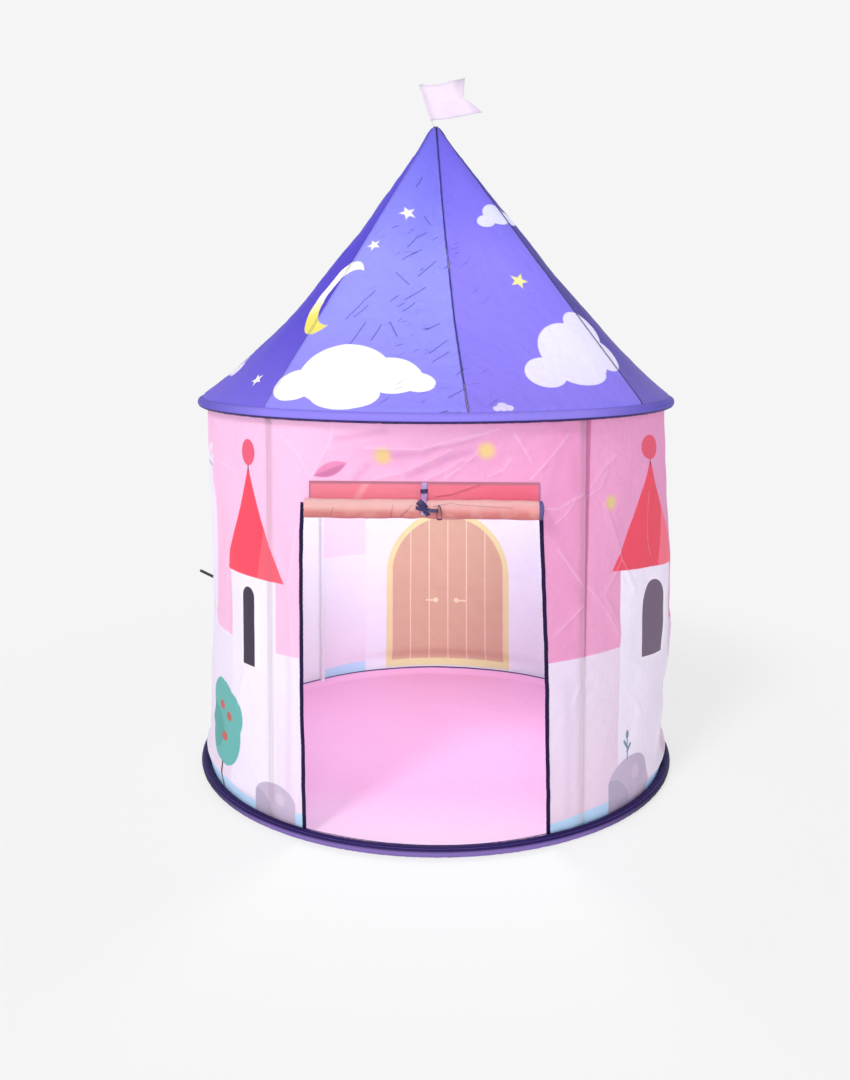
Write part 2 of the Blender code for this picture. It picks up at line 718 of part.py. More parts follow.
def bow_shape():
    """A tied bow seen from the front: a knot, two loops and two ends."""
    half_width = BOW_WIDTH / 2
    half_height = BOW_HEIGHT / 2
    right_side_shares = [
        (0.12, 0.55),
        (0.62, 0.95),
        (0.98, 0.80),
        (1.00, 0.25),
        (0.60, 0.05),
        (0.20, 0.12),
        (0.16, -0.10),
        (0.55, -0.75),
        (0.34, -1.00),
        (0.00, -0.22),
    ]
    left_side_shares = [(-across, up) for across, up in reversed(right_side_shares[:-1])]
    outline = [
        (half_width * across, half_height * up)
        for across, up in [*right_side_shares, *left_side_shares]
    ]
    back = ROLL_STAND + ROLL_RADIUS + RIBBON_CLEARANCE + RIBBON_CLOTH / 2
    sections = [
        [Vector((TIE_OFFSET + x, -depth, z - ROLL_DROP)) for x, z in outline]
        for depth in (back, back + BOW_DEPTH)
    ]
    return loft(sections, [tuple(range(len(outline)))])


def add_door():
    """The flap: a strip that hangs from the seam, the rest in a roll in front of it, and its ties."""
    swing_axis = add_axis("door_swing_axis", Matrix.Translation((0, -SEAM_PLANE, SEAM_HEIGHT)))
    half_cloth = CLOTH / 2
    columns = stops(-CURTAIN_WIDTH / 2, CURTAIN_WIDTH / 2, DOOR_COLUMNS)
    rows = stops(-ROLL_DROP, 0, CURTAIN_ROWS)

    def point(column, row, depth):
        return Vector((columns[column], half_cloth * (2 * depth - 1), rows[row]))

    add_piece("door_curtain", mesh_of("door_curtain", sheet_shape(columns, rows, point), "curtain"), swing_axis)

    sections = []
    for x in stops(-ROLL_LENGTH / 2, ROLL_LENGTH / 2, ROLL_STEPS):
        pinch = TIE_PINCH_DEPTH * math.exp(-(((x - TIE_OFFSET) / TIE_PINCH_SPREAD) ** 2))
        section = []
        for side in range(ROLL_SIDES):
            bend = math.tau * side / ROLL_SIDES
            crease = ROLL_CREASE_DEPTH * swell(bend / math.tau + ROLL_CREASES * x / ROLL_LENGTH)
            radius = ROLL_RADIUS - pinch - crease
            section.append(Vector((x, radius * math.cos(bend), radius * math.sin(bend))))
        sections.append(section)
    lower_axis = add_axis("door_lower_axis", Matrix.Translation((0, -ROLL_STAND, -ROLL_DROP)), swing_axis)
    add_piece("door_roll", mesh_of("door_roll", loft(sections, [tuple(range(ROLL_SIDES))]), "roll"), lower_axis)

    outer_ribbon = ribbon_shape(outer_ribbon_path(), TIE_OFFSET)
    tie = add_piece("door_tie_outer", mesh_of("door_tie_outer", outer_ribbon, "ribbon"), swing_axis)
    bow = add_cutter("bow", bow_shape(), swing_axis.matrix_basis)
    combine(tie, bow, "UNION")

    inside = -DOOR_FACE + CLOTH + GAP + RIBBON_CLOTH / 2
    inner_path = [Vector((inside, SEAM_HEIGHT)), Vector((inside, SEAM_HEIGHT - INNER_RIBBON_DROP))]
    inner_ribbon = ribbon_shape(inner_path, TIE_OFFSET)
    add_piece("door_tie_inner", mesh_of("door_tie_inner", inner_ribbon, "ribbon"))


def add_band(point, columns, rows):
    """A flattened loop of elastic sewn to the left wall."""
    column = round(BAND_COLUMN_SHARE * (len(columns) - 1))
    row = max(index for index, height in enumerate(rows) if height <= BAND_HEIGHT)
    rise_share = (BAND_HEIGHT - rows[row]) / (rows[row + 1] - rows[row])
    root = point(column, row, 0).lerp(point(column, row + 1, 0), rise_share)
    outwards = Vector((root.x, root.y, 0)).normalized()
    seat = GAP + BAND_WIDTH / 2 * math.sin(BAND_RISE) + BAND_SLOT / 2
    half_slot = BAND_SLOT / 2
    straight = BAND_LENGTH - half_slot - BAND_CLOTH
    outline = []
    for bore in (half_slot + BAND_CLOTH, half_slot):
        outline.append((seat, -bore))
        outline += [
            (straight + bore * math.cos(bend), bore * math.sin(bend))
            for bend in stops(-math.pi / 2, math.pi / 2, BAND_STEPS)
        ]
        outline.append((seat, bore))
    sections = [
        [Vector((x, y, height)) for x, y in outline] for height in (-BAND_WIDTH / 2, BAND_WIDTH / 2)
    ]
    shape = loft(sections, ring_cells(len(outline) // 2, False))
    place = (
        Matrix.Translation(root)
        @ Matrix.Rotation(math.atan2(outwards.y, outwards.x), 4, "Z")
        @ Matrix.Rotation(-BAND_RISE, 4, "Y")
    )
    add_piece("storage_band", mesh_of("storage_band", shape, "band"), place=place)


add_floor()
add_hoop("floor_hoop", FLOOR_HOOP_HEIGHT)
add_hoop("eave_hoop", EAVE_HEIGHT)
add_front_panel()
add_wall_panel(
    "wall_right", FRONT_POLE_AZIMUTH, BACK_POLE_AZIMUTH, SIDE_COLUMNS, SIDE_FOLDS, RIGHT_WAIST_DEPTH
)
add_wall_panel(
    "wall_back", BACK_POLE_AZIMUTH, math.tau - BACK_POLE_AZIMUTH, BACK_COLUMNS, BACK_FOLDS, BACK_WAIST_DEPTH
)
left_wall = add_wall_panel(
    "wall_left", -BACK_POLE_AZIMUTH, -FRONT_POLE_AZIMUTH, SIDE_COLUMNS, SIDE_FOLDS, LEFT_WAIST_DEPTH
)
add_door_tape("door_binding_left", -1)
add_door_tape("door_binding_right", 1)
add_wall_poles()
add_roof()
add_roof_rods()
add_hub()
add_flag()
add_door()
add_band(*left_wall)
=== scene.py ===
import functools
import math

import bmesh
import bpy
import numpy as np
from mathutils import Matrix, Vector
from mathutils.bvhtree import BVHTree


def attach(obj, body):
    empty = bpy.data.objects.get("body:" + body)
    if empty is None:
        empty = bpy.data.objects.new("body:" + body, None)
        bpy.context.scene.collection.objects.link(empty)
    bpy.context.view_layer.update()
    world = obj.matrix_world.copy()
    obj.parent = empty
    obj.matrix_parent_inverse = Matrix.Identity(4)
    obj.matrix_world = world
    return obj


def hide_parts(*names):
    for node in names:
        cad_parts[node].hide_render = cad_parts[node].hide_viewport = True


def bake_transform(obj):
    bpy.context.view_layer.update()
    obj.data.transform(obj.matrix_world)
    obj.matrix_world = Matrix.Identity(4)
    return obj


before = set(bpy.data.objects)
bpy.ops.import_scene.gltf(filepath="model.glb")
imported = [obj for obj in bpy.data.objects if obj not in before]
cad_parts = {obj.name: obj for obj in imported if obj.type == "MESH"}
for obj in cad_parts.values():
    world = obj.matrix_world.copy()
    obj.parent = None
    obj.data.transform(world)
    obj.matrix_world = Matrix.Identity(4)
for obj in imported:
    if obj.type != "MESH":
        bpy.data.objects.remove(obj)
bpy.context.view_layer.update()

# Floor mat. A round of coated polyester, pink on its upper face, sewn by its rim to the channel of
# the lower hoop. It lies on the ground, and its last two centimetres climb the side of the channel.
MAT_RADIUS = 0.5108
MAT_CLOTH = 0.0008
MAT_RIM = 0.026
MAT_RISE = 0.0140
MAT_SEAM = 0.0045
MAT_LIFT = 0.0018


def paint(code):
    """A colour written as six hexadecimal digits, in the linear values that a shader takes."""
    parts = [int(code[start : start + 2], 16) / 255 for start in (0, 2, 4)]
    return (*[part / 12.92 if part <= 0.04045 else ((part + 0.055) / 1.055) ** 2.4 for part in parts], 1)


class Wiring:
    """Puts a node tree together. A socket takes another socket, a number, or the digits of a colour."""

    def __init__(self, tree):
        self.tree = tree

    def give(self, socket, value):
        if isinstance(value, bpy.types.NodeSocket):
            self.tree.links.new(value, socket)
        else:
            socket.default_value = paint(value) if isinstance(value, str) else value

    def node(self, kind, *values, sockets=None, **settings):
        """A new node. Its first sockets take the values, and others are given by name or number."""
        made = self.tree.nodes.new(kind)
        for setting, value in settings.items():
            setattr(made, setting, value)
        for place, value in (*enumerate(values), *(sockets or {}).items()):
            self.give(made.inputs[place], value)
        return made

    def out(self, kind, *values, **settings):
        return self.node(kind, *values, **settings).outputs[0]

    def maths(self, operation, *values, **settings):
        return self.out("ShaderNodeMath", *values, operation=operation, **settings)

    def ramp(self, value, start, end, low=0.0, high=1.0):
        """Goes evenly from low to high as the value goes from start to end."""
        return self.out("ShaderNodeMapRange", value, start, end, low, high)

    def mix(self, share, one, other, kind="MIX"):
        sockets = {0: share, 6: one, 7: other}
        return self.node("ShaderNodeMix", data_type="RGBA", blend_type=kind, sockets=sockets).outputs[2]

    def bump(self, height, strength, distance):
        return self.out(
            "ShaderNodeBump", sockets={"Strength": strength, "Distance": distance, "Height": height}
        )


class Printing(Wiring):
    """The shader of one printed cloth. Places and sizes are metres on the flat cloth, from its UV map.

    A shape is a socket with the distance from its outline, below zero inside.
    """

    UNEVEN_DYE = (0.35, 0.30, 0.42, 1)
    FOLD_SHADE = (0.20, 0.14, 0.45, 1)
    EDGE = 0.0006
    RIB_DEPTH = 0.00010
    LET_THROUGH = 0.35

    def __init__(self, name, ground):
        self.material = bpy.data.materials.new(name)
        self.material.use_nodes = True
        super().__init__(self.material.node_tree)
        self.shader = self.tree.nodes["Principled BSDF"]
        self.cloth = self.out("ShaderNodeUVMap", uv_map="print")
        self.colour = ground
        self.relief = []

    def vector(self, operation, *values, **settings):
        made = self.node("ShaderNodeVectorMath", *values, operation=operation, **settings)
        return made.outputs["Value" if operation in ("LENGTH", "DISTANCE", "DOT_PRODUCT") else "Vector"]

    def along(self, axis, spot=None):
        return self.node("ShaderNodeSeparateXYZ", spot or self.cloth).outputs[axis]

    def turned(self, x, y, turn):
        """The place on the cloth as seen from (x, y), with the axes turned."""
        return self.out("ShaderNodeMapping", self.cloth, (x, y, 0), (0, 0, turn), vector_type="TEXTURE")

    def disc(self, spot, x, y, radius):
        return self.maths("SUBTRACT", self.vector("DISTANCE", spot, (x, y, 0)), radius)

    def oval(self, spot, x, y, across, up):
        shrink = across / up
        moved = self.vector("MULTIPLY_ADD", spot, (1, shrink, 1), (-x, -y * shrink, 0))
        return self.maths("SUBTRACT", self.vector("LENGTH", moved), across)

    def beyond(self, spot, x, y, heading):
        """What lies behind the line through (x, y) that faces the heading, in degrees."""
        facing = (math.cos(math.radians(heading)), math.sin(math.radians(heading)), 0)
        reach = self.vector("DOT_PRODUCT", spot, facing)
        return self.maths("SUBTRACT", reach, x * facing[0] + y * facing[1])

    def box(self, spot, left, right, low, high):
        middle = ((left + right) / 2, (low + high) / 2, 0)
        away = self.vector("ABSOLUTE", self.vector("SUBTRACT", spot, middle))
        across = self.maths("SUBTRACT", self.along(0, away), (right - left) / 2)
        return self.both(across, self.maths("SUBTRACT", self.along(1, away), (high - low) / 2))

    def stroke(self, points, half=0.0):
        """A line through the points."""
        off = []
        for one, two in zip(points, points[1:]):
            run = (two[0] - one[0], two[1] - one[1], 0)
            reach = run[0] ** 2 + run[1] ** 2
            away = self.vector("SUBTRACT", self.cloth, (*one, 0))
            share = self.vector("DOT_PRODUCT", away, (run[0] / reach, run[1] / reach, 0))
            share = self.maths("ADD", share, 0.0, use_clamp=True)
            near = self.vector("SCALE", run, sockets={"Scale": share})
            off.append(self.vector("DISTANCE", away, near))
        return self.maths("SUBTRACT", self.either(*off), half)

    def either(self, *shapes):
        return functools.reduce(functools.partial(self.maths, "MINIMUM"), shapes)

    def both(self, *shapes):
        return functools.reduce(functools.partial(self.maths, "MAXIMUM"), shapes)

    def outside(self, shape):
        return self.maths("MULTIPLY", shape, -1)

    def blend(self, share, colour, kind="MIX"):
        """Mixes a colour into what is printed so far."""
        self.colour = self.mix(share, self.colour, colour, kind)

    def mask(self, shape, edge=EDGE):
        """1 inside the shape and 0 outside."""
        return self.ramp(shape, -edge, edge, 1.0, 0.0)

    def lay(self, shape, colour, edge=EDGE):
        """Prints the shape over what is there."""
        self.blend(self.mask(shape, edge), colour)

    def fade(self, value, start, end, colour, strength=1.0):
        """Colour that comes in evenly as the value goes from start to end."""
        self.blend(self.ramp(value, start, end, 0.0, strength), colour)

    def paint_crease_light_and_shade(self, strokes, colour, share, half=0.0, soft=0.0018):
        """A tint along strokes: a painted highlight where its colour is pale, painted shade where it is dark,
        on creases and folds.
        """
        for points in strokes:
            line = self.mask(self.stroke(points, half), soft)
            self.blend(self.maths("MULTIPLY", line, share), colour)

    def noise(self, spot, scale, detail=3.0, roughness=0.5):
        sockets = {"Scale": scale, "Detail": detail, "Roughness": roughness}
        return self.out("ShaderNodeTexNoise", spot, sockets=sockets)

    def dashes(self, turn, share, depth, painted_shade, long, broad, where):
        """Short sharp creases that run at a turn on the cloth, sunk in the bump and darkened with painted
        shade.
        """
        spot = self.vector("MULTIPLY", self.turned(0, 0, turn), (1 / long, 1 / broad, 1))
        lines = self.ramp(self.noise(spot, 1.0, 0.0), 1 - share, 1.06 - share)
        patches = self.ramp(self.noise(self.cloth, 11.0, 0.0), 0.42, 0.56)
        mask = self.maths("MULTIPLY", self.maths("MULTIPLY", lines, patches), where)
        self.blend(self.maths("MULTIPLY", mask, painted_shade), self.FOLD_SHADE, "MULTIPLY")
        self.relief.append(self.maths("MULTIPLY", mask, -depth))

    def finish(self, roughness=0.72, sheen=0.12, crinkle=0.0009, uneven=0.05):
        """Uneven dye, crumples, the ribs of a plain weave and some light let through."""
        dye = self.noise(self.cloth, 9.0, 4.0)
        self.blend(self.maths("MULTIPLY", dye, uneven), self.UNEVEN_DYE, "MULTIPLY")
        crumple = self.maths("SUBTRACT", self.noise(self.cloth, 24.0, 2.5, 0.45), 0.5)
        crumple = self.maths("POWER", self.maths("ABSOLUTE", crumple), 0.8)
        crumple = self.maths("MULTIPLY", crumple, -crinkle * 4)
        stretched = self.vector("MULTIPLY", self.cloth, (1.0, 0.25, 1.0))
        ribs = self.maths("MULTIPLY", self.noise(stretched, 1800.0, 1.0), self.RIB_DEPTH)
        height = functools.reduce(functools.partial(self.maths, "ADD"), [crumple, ribs, *self.relief])
        for socket, value in (
            ("Normal", self.bump(height, 1.0, 1.0)),
            ("Base Color", self.colour),
            ("Roughness", roughness),
            ("Sheen Weight", sheen),
            ("Sheen Roughness", 0.5),
            ("Specular IOR Level", 0.25),
        ):
            self.give(self.shader.inputs[socket], value)
        through = self.out("ShaderNodeBsdfTranslucent", self.colour)
        thin = self.out("ShaderNodeMixShader", self.LET_THROUGH, self.shader.outputs[0], through)
        self.give(self.tree.nodes["Material Output"].inputs["Surface"], thin)
        return self.material


def ripples(across, up, seed, length, depth, heading=None):
    """Soft random waves of about that length, at any heading or near the one given."""
    pick = np.random.default_rng(seed)
    total = 0
    for _ in range(8):
        turn = pick.uniform(0, math.pi) if heading is None else heading + pick.normal(0, 0.35)
        wave = math.tau / (length * pick.uniform(0.6, 1.7))
        run = across * math.cos(turn) + up * math.sin(turn)
        total = total + np.sin(wave * run + pick.uniform(0, math.tau))
    return depth * total / 4


def ease(share):
    """0 to 1 with level ends."""
    share = np.clip(share, 0, 1)
    return share * share * (3 - 2 * share)


def with_hems(start, end, step, hem=0.0007):
    """Even steps, and a narrow one at both ends where the cloth's cut edge turns."""
    count = max(2, round((end - start) / step))
    return np.array([start, *np.linspace(start + hem, end - hem, count), end])


def cloth_sheet(name, points, flat, material, thickness, skip=None):
    """A sheet through rows of points, seen from outside with its columns running to the right.

    flat holds each point's place on the flat cloth, in metres, which the print follows.
    """
    rows, columns = points.shape[:2]
    corner = np.arange(rows * columns).reshape(rows, columns)
    faces = np.stack([corner[:-1, :-1], corner[:-1, 1:], corner[1:, 1:], corner[1:, :-1]], axis=-1)
    faces = faces.reshape(-1, 4) if skip is None else faces[~skip]
    used, faces = np.unique(faces, return_inverse=True)
    faces = faces.reshape(-1, 4)
    mesh = bpy.data.meshes.new(name)
    mesh.from_pydata(points.reshape(-1, 3)[used].tolist(), [], faces.tolist())
    places = mesh.uv_layers.new(name="print")
    places.data.foreach_set("uv", flat.reshape(-1, 2)[used][faces.ravel()].astype(np.float32).ravel())
    mesh.shade_smooth()
    mesh.materials.append(material)
    sheet = bpy.data.objects.new(name, mesh)
    bpy.context.scene.collection.objects.link(sheet)
    if thickness:
        shell = sheet.modifiers.new("cloth thickness", "SOLIDIFY")
        shell.thickness = thickness
        shell.offset = -1
    return sheet


mat_print = Printing("floor_mat_cloth", "FDCBEA")
# Painted light: the mat is pinker towards the back and paler towards the doorway, where the light comes in.
mat_print.fade(mat_print.along(1), -0.05, 0.52, "FBC0E2", 0.8)
mat_print.fade(mat_print.along(1), -0.25, -0.50, "FEEBF9", 0.9)
mat_rim = mat_print.vector("LENGTH", mat_print.cloth)
mat_print.lay(mat_print.maths("SUBTRACT", MAT_RADIUS - MAT_SEAM, mat_rim), "6B4A86")
mat_material = mat_print.finish(roughness=0.6, crinkle=0.0006, uneven=0.03)

side = with_hems(-1, 1, 1 / 62, 0.002)
left_right, front_back = np.meshgrid(side, side)
mat_x = MAT_RADIUS * left_right * np.sqrt(1 - front_back**2 / 2)
mat_y = MAT_RADIUS * front_back * np.sqrt(1 - left_right**2 / 2)
mat_z = MAT_LIFT + ripples(mat_x, mat_y, 3, 0.20, 0.0007) + ripples(mat_x, mat_y, 4, 0.07, 0.00025)
from_rim = (np.hypot(mat_x, mat_y) - MAT_RADIUS + MAT_RIM) / MAT_RIM
mat_z = np.maximum(mat_z, 0.001) + MAT_RISE * ease(from_rim) ** 1.5
floor_mat = cloth_sheet(
    "floor_mat_sheet",
    np.stack([mat_x, mat_y, mat_z], -1),
    np.stack([mat_x, mat_y], -1),
    mat_material,
    MAT_CLOTH,
)
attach(floor_mat, "tent")
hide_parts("floor_mat")

# Hoops. Each is a ring of sprung steel wire whose two ends meet in a pressed steel ferrule at the
# back. They are hidden in their channels, so the solids are kept and only given their metals.


def solid_finish(name, code, roughness, metallic=0.0, streak=(1, 1, 1), scale=60.0, depth=0.00004, gloss=0.5):
    """Metal, plastic, tape or thread with a fine grain, on Object coordinates."""
    material = bpy.data.materials.new(name)
    material.use_nodes = True
    finish = Wiring(material.node_tree)
    place = finish.tree.nodes.new("ShaderNodeTexCoord").outputs["Object"]
    place = finish.out("ShaderNodeMapping", place, sockets={"Scale": streak})
    grain = finish.out("ShaderNodeTexNoise", place, sockets={"Scale": scale, "Detail": 4.0})
    for socket, value in (
        ("Base Color", finish.mix(grain, code, [0.8 * part for part in paint(code)[:3]] + [1])),
        ("Normal", finish.bump(grain, 0.5, depth * 10)),
        ("Roughness", roughness),
        ("Metallic", metallic),
        ("Specular IOR Level", gloss),
    ):
        finish.give(finish.tree.nodes["Principled BSDF"].inputs[socket], value)
    return material


def dress(material, *names):
    """Gives CAD nodes their finish."""
    for name in names:
        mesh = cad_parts[name].data
        mesh.materials.clear()
        mesh.materials.append(material)


dress(solid_finish("spring_wire", "B9BABD", 0.32, 1.0, scale=400.0), "floor_hoop", "eave_hoop")
ferrule_steel = solid_finish("ferrule_steel", "C6C7C9", 0.4, 1.0, scale=300.0)
dress(ferrule_steel, "floor_hoop_ferrule", "eave_hoop_ferrule")

# Channels. A bias strip of dark purple polyester is folded round each hoop and sewn shut, with the
# edges of the wall and of the floor or the roof caught in it. Being cut straight, it gathers a little.
CHANNEL_RADIUS = 0.0103
CHANNEL_CIRCLE = 0.5245
CHANNEL_CLOTH = 0.0009
CHANNEL_HEIGHTS = {"floor": 0.0102, "eave": 0.812}
CHANNEL_GATHERS = 0.0022


class Sewing(Wiring):
    """A Geometry Nodes tree with a named input for each of its sizes and for its material."""

    def __init__(self, name, *sizes):
        super().__init__(bpy.data.node_groups.new(name, "GeometryNodeTree"))
        kinds = {"Geometry": "Geometry", **dict.fromkeys(sizes, "Float"), "Material": "Material"}
        for label, kind in kinds.items():
            self.tree.interface.new_socket(label, in_out="INPUT", socket_type="NodeSocket" + kind)
        self.tree.interface.new_socket("Geometry", in_out="OUTPUT", socket_type="NodeSocketGeometry")
        self.given = self.tree.nodes.new("NodeGroupInput").outputs

    def close(self, mesh):
        """Ends the tree in plain geometry with its material."""
        mesh = self.out("GeometryNodeRealizeInstances", mesh)
        mesh = self.out("GeometryNodeSetMaterial", mesh, sockets={"Material": self.given["Material"]})
        self.tree.links.new(mesh, self.tree.nodes.new("NodeGroupOutput").inputs[0])

    def make(self, name, source, values):
        """The plain mesh that the tree makes from the source mesh, as an object of its own.

        The inputs are set by their identifiers, before the object is first evaluated.
        """
        holder = bpy.data.objects.new(name + "_lines", source)
        bpy.context.scene.collection.objects.link(holder)
        modifier = holder.modifiers.new(self.tree.name, "NODES")
        modifier.node_group = self.tree
        for item in self.tree.interface.items_tree:
            if item.in_out == "INPUT" and item.name in values:
                modifier[item.identifier] = values[item.name]
        bpy.context.view_layer.update()
        result = bpy.data.meshes.new_from_object(holder.evaluated_get(bpy.context.evaluated_depsgraph_get()))
        bpy.data.objects.remove(holder, do_unlink=True)
        result.name = name
        made = bpy.data.objects.new(name, result)
        bpy.context.scene.collection.objects.link(made)
        return made


fold = Sewing("sew_channel", "Hoop radius", "Height", "Channel radius", "Gather depth", "Seed")
ring, section = [
    fold.out("GeometryNodeCurvePrimitiveCircle", sockets={"Resolution": count, 4: fold.given[radius]})
    for radius, count in (("Hoop radius", 900), ("Channel radius", 16))
]
lifted = fold.out("ShaderNodeCombineXYZ", sockets={"Z": fold.given["Height"]})
ring = fold.out("GeometryNodeTransform", ring, sockets={"Translation": lifted})
tube = fold.out("GeometryNodeCurveToMesh", ring, section)
place = fold.tree.nodes.new("GeometryNodeInputPosition").outputs[0]
level = fold.out("ShaderNodeVectorMath", place, (1, 1, 0), operation="MULTIPLY")
outwards = fold.out("ShaderNodeVectorMath", level, operation="NORMALIZE")
gathers = fold.out(
    "ShaderNodeTexNoise",
    noise_dimensions="4D",
    sockets={"Vector": outwards, "W": fold.given["Seed"], "Scale": 46.0, "Detail": 2.0, "Roughness": 0.6},
)
push = fold.maths("MULTIPLY", fold.maths("SUBTRACT", gathers, 0.5), fold.given["Gather depth"])
normal = fold.tree.nodes.new("GeometryNodeInputNormal").outputs[0]
push = fold.out("ShaderNodeVectorMath", normal, operation="SCALE", sockets={"Scale": push})
tube = fold.out("GeometryNodeSetPosition", tube, sockets={"Offset": push})
fold.close(fold.out("GeometryNodeSetShadeSmooth", tube))


def channel_cloth(name, dark, light, dark_to, light_from, painted_side_shade):
    """A dark and a light tone round the tube, split at a height: the floor channel is dark above, the eave
    channel dark below, where it is painted shade on the underside. Towards both sides in X the light tone
    goes over to a painted side shade.
    """
    material = solid_finish(name, dark, 0.55, scale=120.0, depth=0.0001, gloss=0.13)
    cloth = Wiring(material.node_tree)
    base = cloth.tree.nodes["Principled BSDF"].inputs["Base Color"]
    place = cloth.tree.nodes["Texture Coordinate"].outputs["Object"]
    across, _, up = cloth.node("ShaderNodeSeparateXYZ", place).outputs
    sideways = cloth.ramp(cloth.maths("ABSOLUTE", across), 0.30, 0.47)
    light_and_side_shade = cloth.mix(sideways, light, painted_side_shade)
    tones_and_painted_shade = cloth.mix(cloth.ramp(up, dark_to, light_from), base.links[0].from_socket, light_and_side_shade)
    cloth.give(base, tones_and_painted_shade)
    return material


# The eave's dark underside and the darker sides of both channels are painted shade.
channel_cloths = {
    "floor": channel_cloth("floor_channel_cloth", "24134F", "7A64A6", 0.0150, 0.0110, "1A1838"),
    "eave": channel_cloth("eave_channel_cloth", "24124F", "8B7EE6", 0.8058, 0.8082, "5C50BC"),
}
for seed, (place, height) in enumerate(CHANNEL_HEIGHTS.items()):
    channel = fold.make(
        f"{place}_hoop_channel",
        bpy.data.meshes.new("empty"),
        {
            "Hoop radius": CHANNEL_CIRCLE,
            "Height": height,
            "Channel radius": CHANNEL_RADIUS,
            "Gather depth": CHANNEL_GATHERS,
            "Seed": float(seed),
            "Material": channel_cloths[place],
        },
    )
    shell = channel.modifiers.new("cloth thickness", "SOLIDIFY")
    shell.thickness = CHANNEL_CLOTH
    shell.offset = -1
    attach(channel, "tent")
    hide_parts(f"{place}_hoop_binding")

# Wall panels. Four panels of printed polyester, seamed together over the wall poles: two sides, the
# back, and the front with the doorway. They hang between the channels, drawn in or pushed out a
# little between the poles, with soft folds and the creases of a tent that was packed small.
WALL_RADIUS = 0.5136
WALL_CLOTH = 0.0008
WALL_FOOT = 0.0026
WALL_TOP = 0.8158
WALL_LOW = 0.020
WALL_HIGH = 0.802
PANEL_STEP = 0.0056
SEAM_RIDGE = 0.0010
SEAM_HALF = 0.0045
SEAM_STITCHES = 0.0034
STITCH_ENDS = 0.004
SKY_FOOT = 0.345
stitch_runs = {"roof": [], "wall": [], "channel": [], "door": []}


def strokes(*rows):
    """Lines on the flat cloth, written in millimetres."""
    return [[(x / 1000, y / 1000) for x, y in row] for row in rows]


def creases(*rows):
    """Creases in millimetres: the points of each, how far it stands out, and its half width."""
    return [(strokes(points)[0], out / 1000, wide / 1000) for *points, out, wide in rows]


SIDE_CREASES = {
    "wall_left": creases(
        ((-640, 735), (-560, 712), (-430, 684), 3.5, 6),
        ((-575, 690), (-555, 600), (-520, 470), 2.5, 7),
        ((-480, 560), (-500, 420), (-490, 330), -2, 8),
        ((-620, 420), (-540, 340), 2, 6),
        ((-700, 300), (-610, 180), (-560, 120), 2.2, 6.5),
        ((-400, 300), (-440, 200), 1.8, 6),
    ),
    "wall_right": creases(
        ((375, 640), (432, 520), (480, 445), 3.2, 4.6),
        ((336, 480), (383, 427), (434, 353), 3, 4.6),
        ((432, 520), (377, 459), (431, 372), 2.6, 4.4),
        ((339, 672), (382, 712), (415, 730), 2.8, 4.2),
        ((332, 655), (365, 668), (385, 700), 2.6, 4.2),
        ((331, 240), (361, 275), (372, 300), 2.2, 4.4),
        ((540, 640), (536, 560), (548, 510), -2.5, 5),
        ((700, 360), (655, 200), (600, 60), 4.5, 10),
        ((470, 240), (520, 180), 1.8, 6),
    ),
    "wall_back": creases(
        ((1300, 560), (1360, 420), (1340, 250), 2.2, 7),
        ((1880, 600), (1830, 420), (1850, 200), 2.2, 7),
        ((1500, 700), (1620, 620), 2.5, 6),
    ),
}


def around(azimuth, radius, height):
    """Points at azimuths from the middle of the doorway towards +X."""
    return np.stack([radius * np.sin(azimuth), -radius * np.cos(azimuth), height + 0 * azimuth], axis=-1)


def ridge(across, up, start, end, height, width):
    """A straight crease, raised or sunk, that fades out at both ends."""
    run = np.array(end) - np.array(start)
    reach = math.hypot(*run)
    share = ((across - start[0]) * run[0] + (up - start[1]) * run[1]) / reach**2
    off = ((across - start[0]) * run[1] - (up - start[1]) * run[0]) / reach
    fade = np.sqrt(np.clip(4 * share * (1 - share), 0, 1))
    return height * fade * np.exp(-np.abs(off / width) ** 1.4)


def crease_line(across, up, points, height, width):
    """A crease that bends at each of its points."""
    return sum(ridge(across, up, one, other, height, width) for one, other in zip(points, points[1:]))


def puckers(along, away, seed, spacing, depth, reach, skew=0.0, width=0.006):
    """Short gathers that start at a seam and run out into the cloth."""
    pick = np.random.default_rng(seed)
    total = 0 * along
    place = along.min()
    while place < along.max():
        place += spacing * pick.uniform(0.4, 1.6)
        off = along - place - (skew + pick.normal(0, 0.25)) * away
        long = reach * pick.uniform(0.4, 1.5)
        broad = width * pick.uniform(0.7, 1.6)
        total = total + pick.uniform(-1, 1) * np.exp(-((off / broad) ** 2) - np.maximum(away, 0) / long)
    return depth * total


def print_castle_wall(name, plain="E9D5EA", sky_tone="FAD3EC", rosy_tone="EFAED6"):
    """Plain walls under a pink sky, with a strip of pale blue ground."""
    cloth = Printing(name, "F6F0FB")
    across, up = cloth.along(0), cloth.along(1)
    cloth.fade(across, 0.10, 0.45, plain, 0.8)
    cloth.fade(up, 0.26, 0.02, "F6DCEE", 0.4)
    sky = cloth.mask(cloth.beyond(cloth.cloth, 0, SKY_FOOT, 270))
    cloth.blend(sky, sky_tone)
    cloth.blend(cloth.maths("MULTIPLY", sky, cloth.ramp(across, -0.25, 0.28)), rosy_tone)
    wave = cloth.maths("SINE", cloth.maths("MULTIPLY", across, 21.0))
    cloth.lay(cloth.maths("SUBTRACT", up, cloth.maths("MULTIPLY_ADD", wave, 0.004, 0.037)), "D0ECFF")
    return cloth


def arch(cloth, spot, middle, half, low, high):
    return cloth.either(
        cloth.box(spot, middle - half, middle + half, low, high - half),
        cloth.disc(spot, middle, high - half, half),
    )


